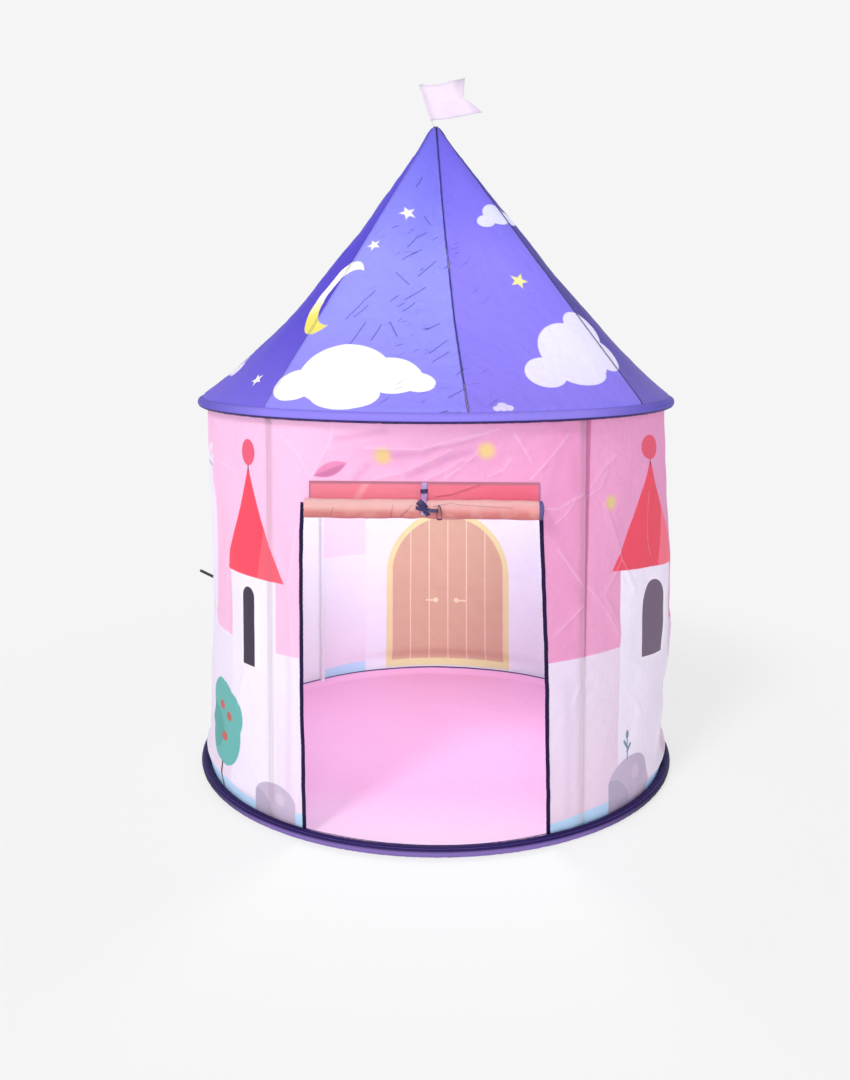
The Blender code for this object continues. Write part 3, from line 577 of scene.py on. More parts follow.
def print_tower(cloth, middle, half_body, half_eaves, eaves, tip, bulb, window, tones, bow=0.03, skew=0.0):
    """A plain round tower: a pale body, a red cap with hollow sides and a ball, its right facet printed
    lighter as painted light, and an arched window.
    """
    rise = cloth.maths("MULTIPLY_ADD", cloth.along(0), skew, -skew * middle)
    spot = cloth.out("ShaderNodeCombineXYZ", cloth.along(0), cloth.maths("ADD", cloth.along(1), rise))
    cloth.lay(cloth.box(spot, middle - half_body, middle + half_body, 0.04, eaves + 0.01), "F8F3FD")
    rise = tip - eaves
    slant = math.hypot(half_eaves, rise)
    bow = bow * slant
    hollow = (slant**2 / 4 + bow**2) / (2 * bow)
    away = (hollow - bow) / slant
    hollow_x, hollow_y = half_eaves / 2 + rise * away, eaves + rise / 2 + half_eaves * away
    sides = [cloth.outside(cloth.disc(spot, middle + side * hollow_x, hollow_y, hollow)) for side in (-1, 1)]
    cap = cloth.both(*sides, cloth.beyond(spot, 0, eaves, 270), cloth.beyond(spot, 0, tip, 90))
    cloth.lay(cap, tones[0])
    # Painted light: the cap's right facet in the lighter tone.
    cloth.lay(cloth.both(cap, cloth.beyond(spot, middle + 0.25 * half_eaves, eaves, 168)), tones[1])
    cloth.lay(cloth.box(spot, middle - 0.0016, middle + 0.0016, tip - 0.012, tip + 0.012), "5A2A55")
    cloth.lay(cloth.oval(spot, middle, tip + bulb[1], *bulb), "F0708F")
    left, right, low, high = window
    centre, half = (left + right) / 2, (right - left) / 2
    cloth.lay(arch(cloth, spot, centre, half + 0.004, low - 0.004, high + 0.004), "FDF9FF")
    cloth.lay(cloth.box(spot, right + 0.006, right + 0.015, low, high - 0.02), "FFFFFF", 0.002)
    cloth.lay(arch(cloth, spot, centre, half, low, high), tones[2])


def print_keep(cloth, middle, half, half_window, low, high):
    """A plain square keep with battlements and one tall arched window."""
    spot, left, right, top = cloth.cloth, middle - half, middle + half, 0.700
    cloth.lay(cloth.box(spot, left, right, 0.04, top), "F6F0FB")
    teeth = cloth.maths("SUBTRACT", cloth.maths("PINGPONG", cloth.along(0), 0.036), 0.019)
    cloth.lay(cloth.both(teeth, cloth.box(spot, left, right, top - 0.01, top + 0.03)), "F6F0FB")
    cloth.lay(cloth.box(spot, left, right, top - 0.022, top - 0.014), "DCCDEB")
    cloth.lay(arch(cloth, spot, middle, half_window + 0.007, low - 0.007, high + 0.007), "D9C7E8")
    cloth.lay(arch(cloth, spot, middle, half_window, low, high), "4C4358")


def print_tree(cloth, middle, height, spread):
    """A round-headed tree with plain coral fruit."""
    tall = 1.08
    moved = (middle - middle / spread, height - height / tall, 0)
    spot = cloth.vector("MULTIPLY_ADD", cloth.cloth, (1 / spread, 1 / tall, 1), moved)
    trunk = cloth.turned(middle - 0.012, 0.055, 0.12)
    cloth.lay(cloth.box(trunk, -0.0035, 0.0035, -0.045, 0.060), "6E3A34")
    leaves = ((0, 0, 0.044, 0.080), (-0.018, 0.040, 0.030, 0.040), (0.020, 0.028, 0.030, 0.042))
    leaves = (*leaves, (-0.014, -0.042, 0.032, 0.036))
    crown = cloth.either(*[cloth.oval(spot, middle + x, height + y, *size) for x, y, *size in leaves])
    cloth.lay(crown, "7ACAC6")
    cloth.lay(cloth.both(crown, cloth.disc(spot, middle - 0.05, height - 0.02, 0.046)), "6BBBB8")
    for x, y in ((-0.014, 0.030), (0.010, 0.018), (-0.002, -0.026)):
        cloth.lay(cloth.disc(spot, middle + x, height + y, 0.0085), "D9776F")


def print_mound(cloth, middle, half, top):
    """A round boulder in two tones of mauve."""
    spot, shoulder = cloth.cloth, top - 0.6 * half
    boulder = cloth.either(
        cloth.box(spot, middle - half, middle + half, 0.008, shoulder),
        cloth.oval(spot, middle, shoulder, half, 0.6 * half),
    )
    shade = cloth.disc(spot, middle - half, 0.01, half * 0.95)
    shine = cloth.disc(spot, middle + 0.3 * half, top - 0.5 * half, 0.22 * half)
    cloth.lay(boulder, "D8CBE0")
    cloth.lay(cloth.both(boulder, shade), "C9BFD6")
    cloth.lay(cloth.both(boulder, shine), "E2D6E6")


LEFT_TOWER = (-0.388, 0.080, 0.103, 0.483, 0.704, (0.022, 0.026), (-0.412, -0.372, 0.303, 0.461))
LEFT_TONES = ("FF5A74", "FF7488", "4C4358")
LEFT_MOUND = (-0.316, 0.056, 0.084)
left_print = print_castle_wall("wall_left_cloth")
print_keep(left_print, -0.730, 0.158, 0.036, 0.270, 0.640)
print_tower(left_print, *LEFT_TOWER, LEFT_TONES)
print_tree(left_print, -0.503, 0.150, 1.7)
print_mound(left_print, *LEFT_MOUND)
left_print.lay(left_print.box(left_print.cloth, -1.40, -0.85, 0.0, 0.61), "FBF7FD", 0.004)
# Painted highlights along the wall's creases.
left_print.paint_crease_light_and_shade([points for points, _, _ in SIDE_CREASES["wall_left"]], "FFF4FF", 0.5, 0.0, 0.0030)
left_material = left_print.finish()

right_print = print_castle_wall("wall_right_cloth", "EEDFEF", "FAD3EC", "F1B6DA")
right_spot = right_print.cloth
# A darker strip over the pole sleeve at 36 degrees: painted shade of the sleeve seen through the cloth.
strip = right_print.both(
    right_print.box(right_spot, 0.3265, 0.3440, SKY_FOOT, 0.90),
    right_print.beyond(right_spot, 0.3300, SKY_FOOT, -1.2),
)
right_print.lay(strip, "DB86B8", 0.0012)
print_keep(right_print, 0.846, 0.120, 0.034, 0.270, 0.640)
RIGHT_TOWER = (0.548, 0.120, 0.147, 0.484, 0.706, (0.040, 0.025), (0.513, 0.613, 0.300, 0.457))
print_tower(right_print, *RIGHT_TOWER, ("F4607C", "FB8CA4", "8A7590"), 0.01, 0.11)
right_print.lay(right_print.disc(right_spot, 0.396, 0.636, 0.0130), "EBD9A0", 0.007)
print_mound(right_print, 0.472, 0.074, 0.112)
sprout = right_print.either(
    right_print.stroke([(0.462, 0.108), (0.462, 0.152)], 0.0016),
    right_print.stroke([(0.462, 0.124), (0.472, 0.136)], 0.0030),
    right_print.stroke([(0.462, 0.132), (0.452, 0.146)], 0.0030),
    right_print.oval(right_spot, 0.462, 0.158, 0.005, 0.009),
)
right_print.lay(sprout, "8DA4B8")
print_tree(right_print, 0.800, 0.150, 1.0)
# Painted highlights along the wall's creases.
right_print.paint_crease_light_and_shade([points for points, _, _ in SIDE_CREASES["wall_right"]], "FFE9F8", 0.55, 0.0, 0.0028)
right_material = right_print.finish()

back_print = print_castle_wall("wall_back_cloth", "F8F2FC", "FBE6F4", "FBE6F4")
BACK_DOOR = math.radians(178.8)
back_middle = BACK_DOOR * WALL_RADIUS
back_spot = back_print.cloth
back_print.lay(back_print.box(back_spot, 1.20, 1.838, 0.0, 0.60), "F8F2FC")
back_print.lay(arch(back_print, back_spot, back_middle, 0.175, 0.018, 0.458), "F4E7B6")
planks = arch(back_print, back_spot, back_middle, 0.159, 0.036, 0.442)
back_print.lay(planks, "E4BCA4")
gap_lines = back_print.maths("ABSOLUTE", back_print.maths("SUBTRACT", back_print.along(0), back_middle))
gap_lines = back_print.maths("SUBTRACT", back_print.maths("PINGPONG", gap_lines, 0.0264), 0.0013)
back_print.lay(back_print.both(planks, gap_lines), "FBE3D4", 0.0008)
for handle in (back_middle - 0.0360, back_middle + 0.0460):
    plate = back_print.box(back_spot, handle - 0.016, handle + 0.016, 0.203, 0.208)
    to_gap = math.copysign(0.012, back_middle - handle)
    knob = back_print.disc(back_spot, handle + to_gap, 0.206, 0.007)
    back_print.lay(back_print.either(plate, knob), "F8E6C4")
back_material = back_print.finish(crinkle=0.0006)

SIDE_PANELS = {
    "wall_left": (-140, -36, 0.016, 3, left_material, 21),
    "wall_right": (36, 140, -0.017, 3, right_material, 22),
    "wall_back": (140, 220, 0.008, 2, back_material, 23),
}


def side_out(name, azimuth, height):
    """How far the cloth of a side or back panel lies outside the round line of the poles."""
    start, end, waist, folds, _, seed = SIDE_PANELS[name]
    girth = math.radians(end - start) * WALL_RADIUS
    turn = (azimuth - math.radians(start)) / math.radians(end - start)
    rise = (np.clip(height, WALL_LOW, WALL_HIGH) - WALL_LOW) / (WALL_HIGH - WALL_LOW)
    free = np.sin(math.pi * turn) ** 2 * np.sin(math.pi * rise) ** 2
    across = azimuth * WALL_RADIUS
    loose = ease(5 * turn) * ease(5 * (1 - turn)) * ease(7 * rise) * ease(7 * (1 - rise))
    out = free * (0.004 * np.cos(math.tau * folds * turn) - waist)
    out = out + loose * ripples(across, height, seed, 0.17, 0.0026, 0.15)
    out = out + loose * ripples(across, height, seed + 40, 0.060, 0.0007)
    for points, depth, width in SIDE_CREASES[name]:
        out = out + loose**0.3 * crease_line(across, height, points, 1.4 * depth, width)
    out = out + 0.011 * np.exp(-(((height - 0.042) / 0.017) ** 2)) * np.sin(math.pi * turn) ** 2
    under = WALL_HIGH - height
    over = height - WALL_LOW
    gathers = puckers(across, under, seed + 1, 0.016, 0.0016, 0.05) * ease(under / 0.02)
    gathers += puckers(across, over, seed + 2, 0.020, 0.0013, 0.035) * ease(over / 0.02)
    from_seam = np.minimum(turn, 1 - turn) * girth
    gathers += puckers(height, from_seam, seed + 3, 0.030, 0.0014, 0.030, 0.5) * ease(from_seam / 0.012)
    seam = SEAM_RIDGE * np.exp(-((from_seam / SEAM_HALF) ** 4))
    return out + gathers * np.sin(math.pi * rise) ** 0.25 + seam * (rise > 0) * (rise < 1)


for name, (start, end, _, _, material, _) in SIDE_PANELS.items():
    reach = math.radians(end - start) * WALL_RADIUS
    turns = math.radians(start) + with_hems(0.0002, reach - 0.0002, PANEL_STEP) / WALL_RADIUS
    azimuths, heights = np.meshgrid(turns, with_hems(WALL_FOOT, WALL_TOP, PANEL_STEP))
    wall = cloth_sheet(
        name + "_sheet",
        around(azimuths, WALL_RADIUS + side_out(name, azimuths, heights), heights),
        np.stack([azimuths * WALL_RADIUS, heights], -1),
        material,
        WALL_CLOTH,
    )
    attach(wall, "tent")
    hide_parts(name)
    for edge, inward in ((start, 1), (end, -1)):
        heights = np.linspace(WALL_LOW + STITCH_ENDS, WALL_HIGH - STITCH_ENDS, 130)
        azimuths = np.full_like(heights, math.radians(edge) + inward * SEAM_STITCHES / WALL_RADIUS)
        radii = WALL_RADIUS + side_out(name, azimuths, heights)
        stitch_runs["wall"].append(around(azimuths, radii, heights))

# Front panel. The panel with the doorway. Over the door the weight of the rolled flap draws it flat
# and pulls light creases down from the channel to the two ends of the roll.
FRONT_HALF = math.radians(36)
LINTEL_LOW = 0.645
SEAM_HEIGHT = 0.687
FLAT_HALF = math.radians(25.92)
FLAT_FACE = WALL_RADIUS * math.cos(FLAT_HALF)
DOOR_LEFT = (-26.25, -3.38, 4.76)  # degrees at the floor, per metre, and per square metre
DOOR_RIGHT = (27.15, -0.89, -4.26)
FRONT_CREASES = creases(
    ((-95, 693), (-38, 706), (11, 730), (54, 752), 4, 7),
    ((-112, 753), (-6, 751.6), (54, 769), (106, 782), 3.6, 6),
    ((0, 691), (37, 709), (74, 733), 3, 5.6),
    ((-215, 700), (-180, 760), (-170, 795), 3, 6),
    ((-215, 690), (-250, 740), (-290, 770), 2.6, 6),
    ((40, 696), (70, 716), (100, 745), 2.8, 4),
    ((33, 758), (90, 774), (140, 790), 2.6, 4.2),
    ((120, 698), (150, 712), (165, 735), 2.4, 3.8),
    ((171, 780), (190, 752), (207, 724), 3, 4),
    ((204, 694), (245, 735), (285, 776), 3.4, 4),
    ((226, 640), (262, 636), (295, 652), (325, 660), 3, 4),
    ((256, 610), (275, 622), (300, 650), 2.6, 4),
    ((256, 398), (300, 428), (330, 452), 2.6, 4.4),
    ((262, 560), (300, 510), (325, 480), 1.8, 4.4),
    ((296, 245), (310, 275), (318, 298), 2.2, 4),
    ((-250, 600), (-275, 480), (-265, 350), 1.6, 6),
    ((-300, 300), (-262, 180), 1.6, 6),
)
# Broad folds over the doorway, printed as bands of painted shade.
LINTEL_SHADES = strokes(
    ((-56, 738), (-6, 741), (54, 763), (106, 776)),
    ((-28, 697.5), (11, 715), (52, 735), (87, 748)),
    ((-164, 770), (-104, 779), (-69, 786)),
    ((-106, 718.5), (-117, 705.4), (-130, 694.5)),
)


def door_edge(edge, height):
    """Azimuth of an upright edge of the doorway, a slight curve."""
    height = np.clip(height, 0, LINTEL_LOW)
    return np.radians(edge[0] + edge[1] * height + edge[2] * height**2)


def front_place(azimuth, height):
    """A point of the front panel."""
    across = azimuth * WALL_RADIUS
    rise = np.clip((height - WALL_LOW) / (WALL_HIGH - WALL_LOW), 0, 1)
    from_pole = (FRONT_HALF - np.abs(azimuth)) * WALL_RADIUS
    loose = ease(from_pole / 0.03) * ease(6 * rise) * ease(8 * (1 - rise))
    out = loose * ripples(across, height, 31, 0.11, 0.0012, 0.6)
    out = out + loose * ripples(across, height, 32, 0.045, 0.0005)
    ends = ease(8 * rise) * ease(12 * (1 - rise))
    for points, depth, width in FRONT_CREASES:
        out = out + ends * crease_line(across, height, points, depth, width)
    under = WALL_HIGH - height
    out = out + puckers(across, under, 33, 0.013, 0.0017, 0.045) * ease(under / 0.02)
    from_seam = np.abs(height - SEAM_HEIGHT)
    over_door = ease((FLAT_HALF - np.abs(azimuth)) / 0.03)
    gathers = puckers(across, from_seam, 34, 0.022, 0.0013, 0.025, 0.4)
    out = out + over_door * gathers * ease(from_seam / 0.006)
    gathers = puckers(height, from_pole, 35, 0.030, 0.0014, 0.030, 0.5)
    out = out + gathers * ease(from_pole / 0.012) * ease(8 * rise)
    behind_flap = over_door * ease((SEAM_HEIGHT + 0.004 - height) / 0.006)
    out = out * (1 - behind_flap) - 0.0006 * behind_flap
    out = out + SEAM_RIDGE * np.exp(-((from_pole / SEAM_HALF) ** 4)) * (rise > 0) * (rise < 1)
    place = around(azimuth, WALL_RADIUS + out, height)
    flat = ease((WALL_TOP - height) / (WALL_TOP - SEAM_HEIGHT)) * (np.abs(azimuth) < FLAT_HALF)
    place[..., 1] += (-FLAT_FACE - out - place[..., 1]) * flat
    return place


front_print = print_castle_wall("wall_front_cloth")
front_spot = front_print.cloth
print_tower(front_print, *LEFT_TOWER, LEFT_TONES)
print_mound(front_print, *LEFT_MOUND)
leaf = front_print.both(
    front_print.disc(front_spot, -0.1940, 0.7480, 0.0530),
    front_print.disc(front_spot, -0.1650, 0.6730, 0.0530),
)
front_print.lay(leaf, "EFA3CC", 0.0016)
half_leaf = front_print.both(leaf, front_print.beyond(front_spot, -0.178, 0.7110, 110))
front_print.lay(half_leaf, "DD8FBE", 0.0016)
for x, y in ((-0.0757, 0.738), (0.118, 0.749)):
    front_print.lay(front_print.disc(front_spot, x, y, 0.0150), "F4DEA6", 0.007)
# Painted shade along the broad folds over the doorway.
front_print.paint_crease_light_and_shade(LINTEL_SHADES, "E0A2D2", 0.45, 0.0040, 0.0060)
# Painted highlights along the creases.
front_print.paint_crease_light_and_shade([points for points, _, _ in FRONT_CREASES], "FFEFFC", 0.55, 0.0002, 0.0028)
# Painted shade in soft upright bands either side of the doorway.
JAMB_SHADES = strokes(((-279, 30), (-274, 300), (-280, 600)), ((290, 50), (286, 300)))
front_print.paint_crease_light_and_shade(JAMB_SHADES, "DCC8E2", 0.35, 0.003, 0.010)
front_material = front_print.finish()

DOOR_ROWS = 112
rows = np.concatenate(
    [
        np.linspace(WALL_FOOT, WALL_FOOT + 0.0007, 2),
        np.linspace(0.0085, LINTEL_LOW - 0.0054, DOOR_ROWS),
        np.linspace(LINTEL_LOW, LINTEL_LOW + 0.0007, 2),
        np.linspace(LINTEL_LOW + 0.005, WALL_TOP, 38),
    ]
)
left_jamb = with_hems(0, 1, 1 / 20, 0.008)
door_span = np.linspace(0, 1, 104)[None, 1:-1]
right_jamb = with_hems(0, 1, 1 / 19, 0.008)
left_edges = door_edge(DOOR_LEFT, rows)[:, None]
right_edges = door_edge(DOOR_RIGHT, rows)[:, None]
azimuths = np.concatenate(
    [
        -FRONT_HALF + (left_edges + FRONT_HALF) * left_jamb[None, :],
        left_edges + (right_edges - left_edges) * door_span,
        right_edges + (FRONT_HALF - right_edges) * right_jamb[None, :],
    ],
    axis=1,
)
heights = np.repeat(rows[:, None], azimuths.shape[1], axis=1)
in_door = np.zeros((len(rows) - 1, azimuths.shape[1] - 1), bool)
in_door[: DOOR_ROWS + 2, len(left_jamb) - 1 : -len(right_jamb) + 1] = True
wall_front = cloth_sheet(
    "wall_front_sheet",
    front_place(azimuths, heights),
    np.stack([azimuths * WALL_RADIUS, heights], -1),
    front_material,
    WALL_CLOTH,
    in_door,
)
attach(wall_front, "tent")
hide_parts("wall_front")
for side in (-1, 1):
    heights = np.linspace(WALL_LOW + STITCH_ENDS, WALL_HIGH - STITCH_ENDS, 130)
    azimuths = np.full_like(heights, side * (FRONT_HALF - SEAM_STITCHES / WALL_RADIUS))
    stitch_runs["wall"].append(front_place(azimuths, heights))

# Door bindings. Narrow dark tape, folded over the two cut upright edges of the doorway and sewn
# through. It puckers a little, as tape sewn to thin cloth does.
TAPE_WIDTH = 0.0062
TAPE_CLOTH = 0.0005
TAPE_FOOT = 0.0040
TAPE_FOLD = 0.16
TAPE_GAP = 0.0002


def tape_place(edge, height, round_share):
    """Once round the folded tape: 0 on its outer face, 1 on its inner face."""
    side = math.copysign(1, edge[0])
    pucker = 0.0003 * np.sin(height * 640 + 2 * np.sin(height * 90))
    pucker = pucker + ripples(height, 0 * height, 51, 0.05, 0.0005)
    bend = (round_share - 0.5) * 2
    into = np.maximum(np.abs(bend) - TAPE_FOLD, 0) / (1 - TAPE_FOLD) * TAPE_WIDTH
    turn = np.clip(bend / TAPE_FOLD, -1, 1) * math.pi / 2
    half = WALL_CLOTH / 2 + TAPE_CLOTH + TAPE_GAP
    out = -half * np.sin(turn) - WALL_CLOTH / 2 + pucker
    shifted = door_edge(edge, height) + side * (into - half * np.cos(turn)) / WALL_RADIUS
    return front_place(shifted, height) + around(shifted, 1.0, 0 * height) * out[..., None]


tape_material = solid_finish("door_tape", "24143F", 0.6, scale=180.0, depth=0.0001, gloss=0.12)
tape_rows = np.linspace(TAPE_FOOT, LINTEL_LOW + 0.001, 190)
half_round = np.array([0, 0.01, 0.12, 0.24, 0.36, 0.42, 0.455, 0.49])
round_tape = np.concatenate([half_round, 1 - half_round[::-1]])
for name, edge in (("door_binding_left", DOOR_LEFT), ("door_binding_right", DOOR_RIGHT)):
    shares, heights = np.meshgrid(round_tape, tape_rows)
    if edge is DOOR_LEFT:
        shares = shares[:, ::-1]
    tape = cloth_sheet(
        name + "_tape",
        tape_place(edge, heights, shares),
        np.stack([shares * 2 * TAPE_WIDTH, heights], -1),
        tape_material,
        TAPE_CLOTH * 0.8,
    )
    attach(tape, "tent")
    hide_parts(name)
    heights = np.linspace(0.03, LINTEL_LOW - STITCH_ENDS, 120)
    stitch_runs["door"].append(tape_place(edge, heights, np.full_like(heights, 0.10)))

# Wall poles. Four glass-fibre poles, each of two rods pushed into a steel coupler. Each stands in a
# sleeve, a strip of the wall's own cloth sewn along both edges to the inside of the wall.
POLE_CIRCLE = 0.50691
SLEEVE_BORE = 0.0056
SLEEVE_CLOTH = 0.0006
SLEEVE_BEND = 1.45
SLEEVE_SEAM = WALL_RADIUS - WALL_CLOTH - 0.0004
rod_material = solid_finish("glass_fibre_rod", "ECECEA", 0.35, streak=(1, 1, 0.05), scale=900.0)
coupler_material = solid_finish("coupler_tube", "C9CACC", 0.36, 1.0, scale=500.0)
for number in range(1, 5):
    for kind, coupler in (("wall_pole", "pole_coupler"), ("roof_rod", "roof_rod_coupler")):
        dress(rod_material, f"{kind}_lower_{number}", f"{kind}_upper_{number}")
        dress(coupler_material, f"{coupler}_{number}")

sleeve_rows = with_hems(WALL_FOOT + 0.001, WALL_TOP - 0.001, 0.006)
sleeve_turns = np.concatenate([[-1.75, -1.7], np.linspace(-SLEEVE_BEND, SLEEVE_BEND, 22), [1.7, 1.75]])
for number, (degrees, material, wall_name) in enumerate(
    (
        (-36, front_material, "wall_front_sheet"),
        (36, right_material, "wall_right_sheet"),
        (140, right_material, "wall_right_sheet"),
        (-140, left_material, "wall_left_sheet"),
    ),
    1,
):
    azimuth = math.radians(degrees)
    turns, heights = np.meshgrid(sleeve_turns, sleeve_rows)
    radii = SLEEVE_BORE + 0.0006 + ripples(turns * 0.02, heights, 60 + number, 0.07, 0.0003)
    radii = radii + 0.0004 * np.sin(heights * 210 + 1.5 * np.sin(heights * 37)) * np.cos(turns)
    bends = np.clip(turns, -SLEEVE_BEND, SLEEVE_BEND)
    tangent = radii * np.sin(bends) + (turns - bends) * 0.012
    inwards = np.minimum(-radii * np.cos(bends), 0.0) + np.where(np.abs(turns) > SLEEVE_BEND, 0.0007, 0.0)
    sewn = ease((np.abs(turns) - 0.9) / 0.8)
    reach = POLE_CIRCLE + inwards + (SLEEVE_SEAM - POLE_CIRCLE) * sewn
    points = around(azimuth, reach, heights)
    points = points - tangent[..., None] * np.array([math.cos(azimuth), math.sin(azimuth), 0])
    sleeve = cloth_sheet(
        f"pole_sleeve_{number}_strip",
        points,
        np.stack([azimuth * WALL_RADIUS + turns * 0.008, heights], -1),
        material,
        SLEEVE_CLOTH,
    )
    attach(sleeve, "tent")
    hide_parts(f"pole_sleeve_{number}")

# Roof. Eight gores of printed polyester, sewn edge to edge. Four seams lie on the rods and hold the
# cloth taut. The four between them hang free, so the cloth sags there and puckers along the seam.
EDGE_RADIUS = 0.526
EDGE_HEIGHT = 0.8236
CROWN_RADIUS = 0.0078
CROWN_HEIGHT = 1.4230
ROOF_CLOTH = 0.0008
ROOF_TURN = math.radians(9.2)
GORE = math.radians(45)
SAG = 0.040
FAN = 0.6534  # radians on the flat roof cloth for each radian of azimuth
LOOSE_LENGTH = 0.7787
TIP_GAP = 0.012
roof_slant = np.array([CROWN_RADIUS - EDGE_RADIUS, CROWN_HEIGHT - EDGE_HEIGHT])
ROOF_LENGTH = math.hypot(*roof_slant)
roof_slant = roof_slant / ROOF_LENGTH
roof_outward = np.array([roof_slant[1], -roof_slant[0]])
ROOF_CREASES = strokes(
    ((-168, -551), (-133, -507), (-112, -483)),
    ((-150, -548), (-124, -522)),
    ((-152, -622), (-125, -567)),
    ((-75, -571), (-59, -605)),
    ((-72, -434), (-43, -466)),
    ((-61, -396), (-32, -371)),
    ((-39, -192), (-27, -162)),
    ((-17, -272), (-3, -288)),
    ((-52, -361), (-34, -331), (-12, -312)),
    ((-41, -378), (-21, -364)),
    ((-3, -584), (26, -560)),
    ((7, -644), (42, -607)),
    ((15, -668), (47, -639)),
    ((48, -763), (76, -740)),
    ((32, -804), (46, -799)),
    ((46, -803), (69, -801)),
    ((-49, -506), (-8, -468)),
    ((-52, -538), (-29, -512)),
    ((-25, -440), (13, -392)),
    ((-110, -615), (-93, -577)),
)


def second_map(sheet, flat):
    """A second UV map on a sheet, for lines that keep a distance from its edges."""
    loops = np.empty(len(sheet.data.loops), int)
    sheet.data.loops.foreach_get("vertex_index", loops)
    edges = sheet.data.uv_layers.new(name="seam")
    edges.data.foreach_set("uv", flat.reshape(-1, 2)[loops].astype(np.float32).ravel())


def roof_place(azimuth, up):
    """A point of the roof at a distance up the slant from the edge."""
    rod_share = ((azimuth - ROOF_TURN - GORE) / (2 * GORE)) % 1
    rise = np.minimum(1, up / LOOSE_LENGTH)
    bulge = 4 * rise * (1 - rise)
    sag = SAG * np.sin(math.pi * rod_share) ** 2 * bulge * (1 + 0.3 * (0.5 - rise))
    from_tip = ROOF_LENGTH - up + TIP_GAP
    past_free_seam = ((azimuth - ROOF_TURN + GORE) % (2 * GORE)) - GORE
    past_rod_seam = ((azimuth - ROOF_TURN) % (2 * GORE)) - GORE
    from_free_seam = np.abs(past_free_seam) * FAN * from_tip
    from_rod_seam = np.abs(past_rod_seam) * FAN * from_tip
    slack = ease(from_rod_seam / 0.05) * np.clip(bulge, 0, 1)
    spread = 0.8 * from_tip * np.sin(azimuth), 0.8 * from_tip * np.cos(azimuth)
    out = -sag + slack * ripples(*spread, 71, 0.16, 0.0030)
    out = out + slack * ripples(*spread, 72, 0.055, 0.0007)
    bearing = ((azimuth + math.pi) % math.tau - math.pi) * FAN
    across, down = from_tip * np.sin(bearing), -from_tip * np.cos(bearing)
    for points in ROOF_CREASES:
        out = out - crease_line(across, down, points, 0.0016, 0.0040)
    at_edge = np.clip(bulge * 4, 0, 1)
    for seed, wing, share in ((73, -1, 1.0), (74, 1, 0.55)):
        gathers = puckers(up, from_free_seam, seed, 0.014, 0.0021, 0.040, -0.75, 0.0055)
        gathers = gathers + 0.8 * puckers(up, from_free_seam, seed + 10, 0.045, 0.0030, 0.090, -0.55, 0.0075)
        on_wing = np.sign(past_free_seam) == wing
        out = out + on_wing * gathers * ease(from_free_seam / 0.006) * at_edge * share
    gathers = puckers(up, from_rod_seam, 75, 0.030, 0.0014, 0.030, 0.4)
    out = out + gathers * ease(from_rod_seam / 0.01) * at_edge
    out = out + puckers(azimuth * EDGE_RADIUS, up, 76, 0.017, 0.0016, 0.028) * ease(up / 0.015)
    seam = np.exp(-((np.minimum(from_free_seam, from_rod_seam) / 0.0036) ** 4)) * ease(up / 0.01)
    out = out - 0.0017 * np.exp(-((up / 0.0025) ** 2))
    out = out + 0.0011 * seam + 0.0015 * np.exp(-(((ROOF_LENGTH - up) / 0.030) ** 2))
    radius = EDGE_RADIUS + roof_slant[0] * up + roof_outward[0] * out
    height = EDGE_HEIGHT + roof_slant[1] * up + roof_outward[1] * out
    return around(azimuth, radius, height)


def print_cloud(cloth, x, y, turn, size, lobes, colour):
    """A plain cloud of round lobes."""
    spot = cloth.turned(x, y, turn)
    shapes = [cloth.oval(spot, *(size * part for part in lobe)) for lobe in lobes]
    cloth.lay(cloth.either(*shapes), colour, 0.0008)


def print_star(cloth, x, y, radius, turn, colour):
    """A plain five-pointed star."""
    off = cloth.vector("SUBTRACT", cloth.cloth, (x, y, 0))
    bearing = cloth.maths("ARCTAN2", cloth.along(1, off), cloth.along(0, off))
    folded = cloth.maths("PINGPONG", cloth.maths("ADD", bearing, turn), math.pi / 5)
    notch = 0.42 * radius
    lean = math.atan2(radius - notch * math.cos(math.pi / 5), notch * math.sin(math.pi / 5))
    edge = cloth.maths("COSINE", cloth.maths("SUBTRACT", folded, lean))
    edge = cloth.maths("MULTIPLY", edge, cloth.vector("LENGTH", off))
    cloth.lay(cloth.maths("SUBTRACT", edge, radius * math.cos(lean)), colour, 0.0008)


def on_fan(degrees, from_tip):
    """A place on the flat roof cloth, and how far a motif there is turned."""
    turn = math.radians(degrees) * FAN
    return from_tip * math.sin(turn), -from_tip * math.cos(turn), turn


BROAD_CLOUD = [
    (-0.1, 0.05, 0.62, 0.48),
    (-0.72, -0.12, 0.32, 0.24),
    (0.52, 0.10, 0.38, 0.30),
    (0.86, 0.06, 0.22, 0.17),
    (0.0, -0.25, 0.46, 0.26),
]
ROUND_CLOUD = [
    (0.0, 0.0, 0.56, 0.54),
    (0.46, 0.42, 0.34, 0.34),
    (-0.66, -0.26, 0.32, 0.28),
    (0.58, -0.06, 0.30, 0.30),
    (-0.05, -0.36, 0.42, 0.24),
]
SMALL_CLOUD = [(0.0, 0.05, 0.55, 0.55), (-0.62, -0.18, 0.36, 0.32), (0.60, -0.12, 0.42, 0.36)]
roof_print = Printing("roof_cloth", "ABAAFC")
front_seam = math.degrees(ROOF_TURN)
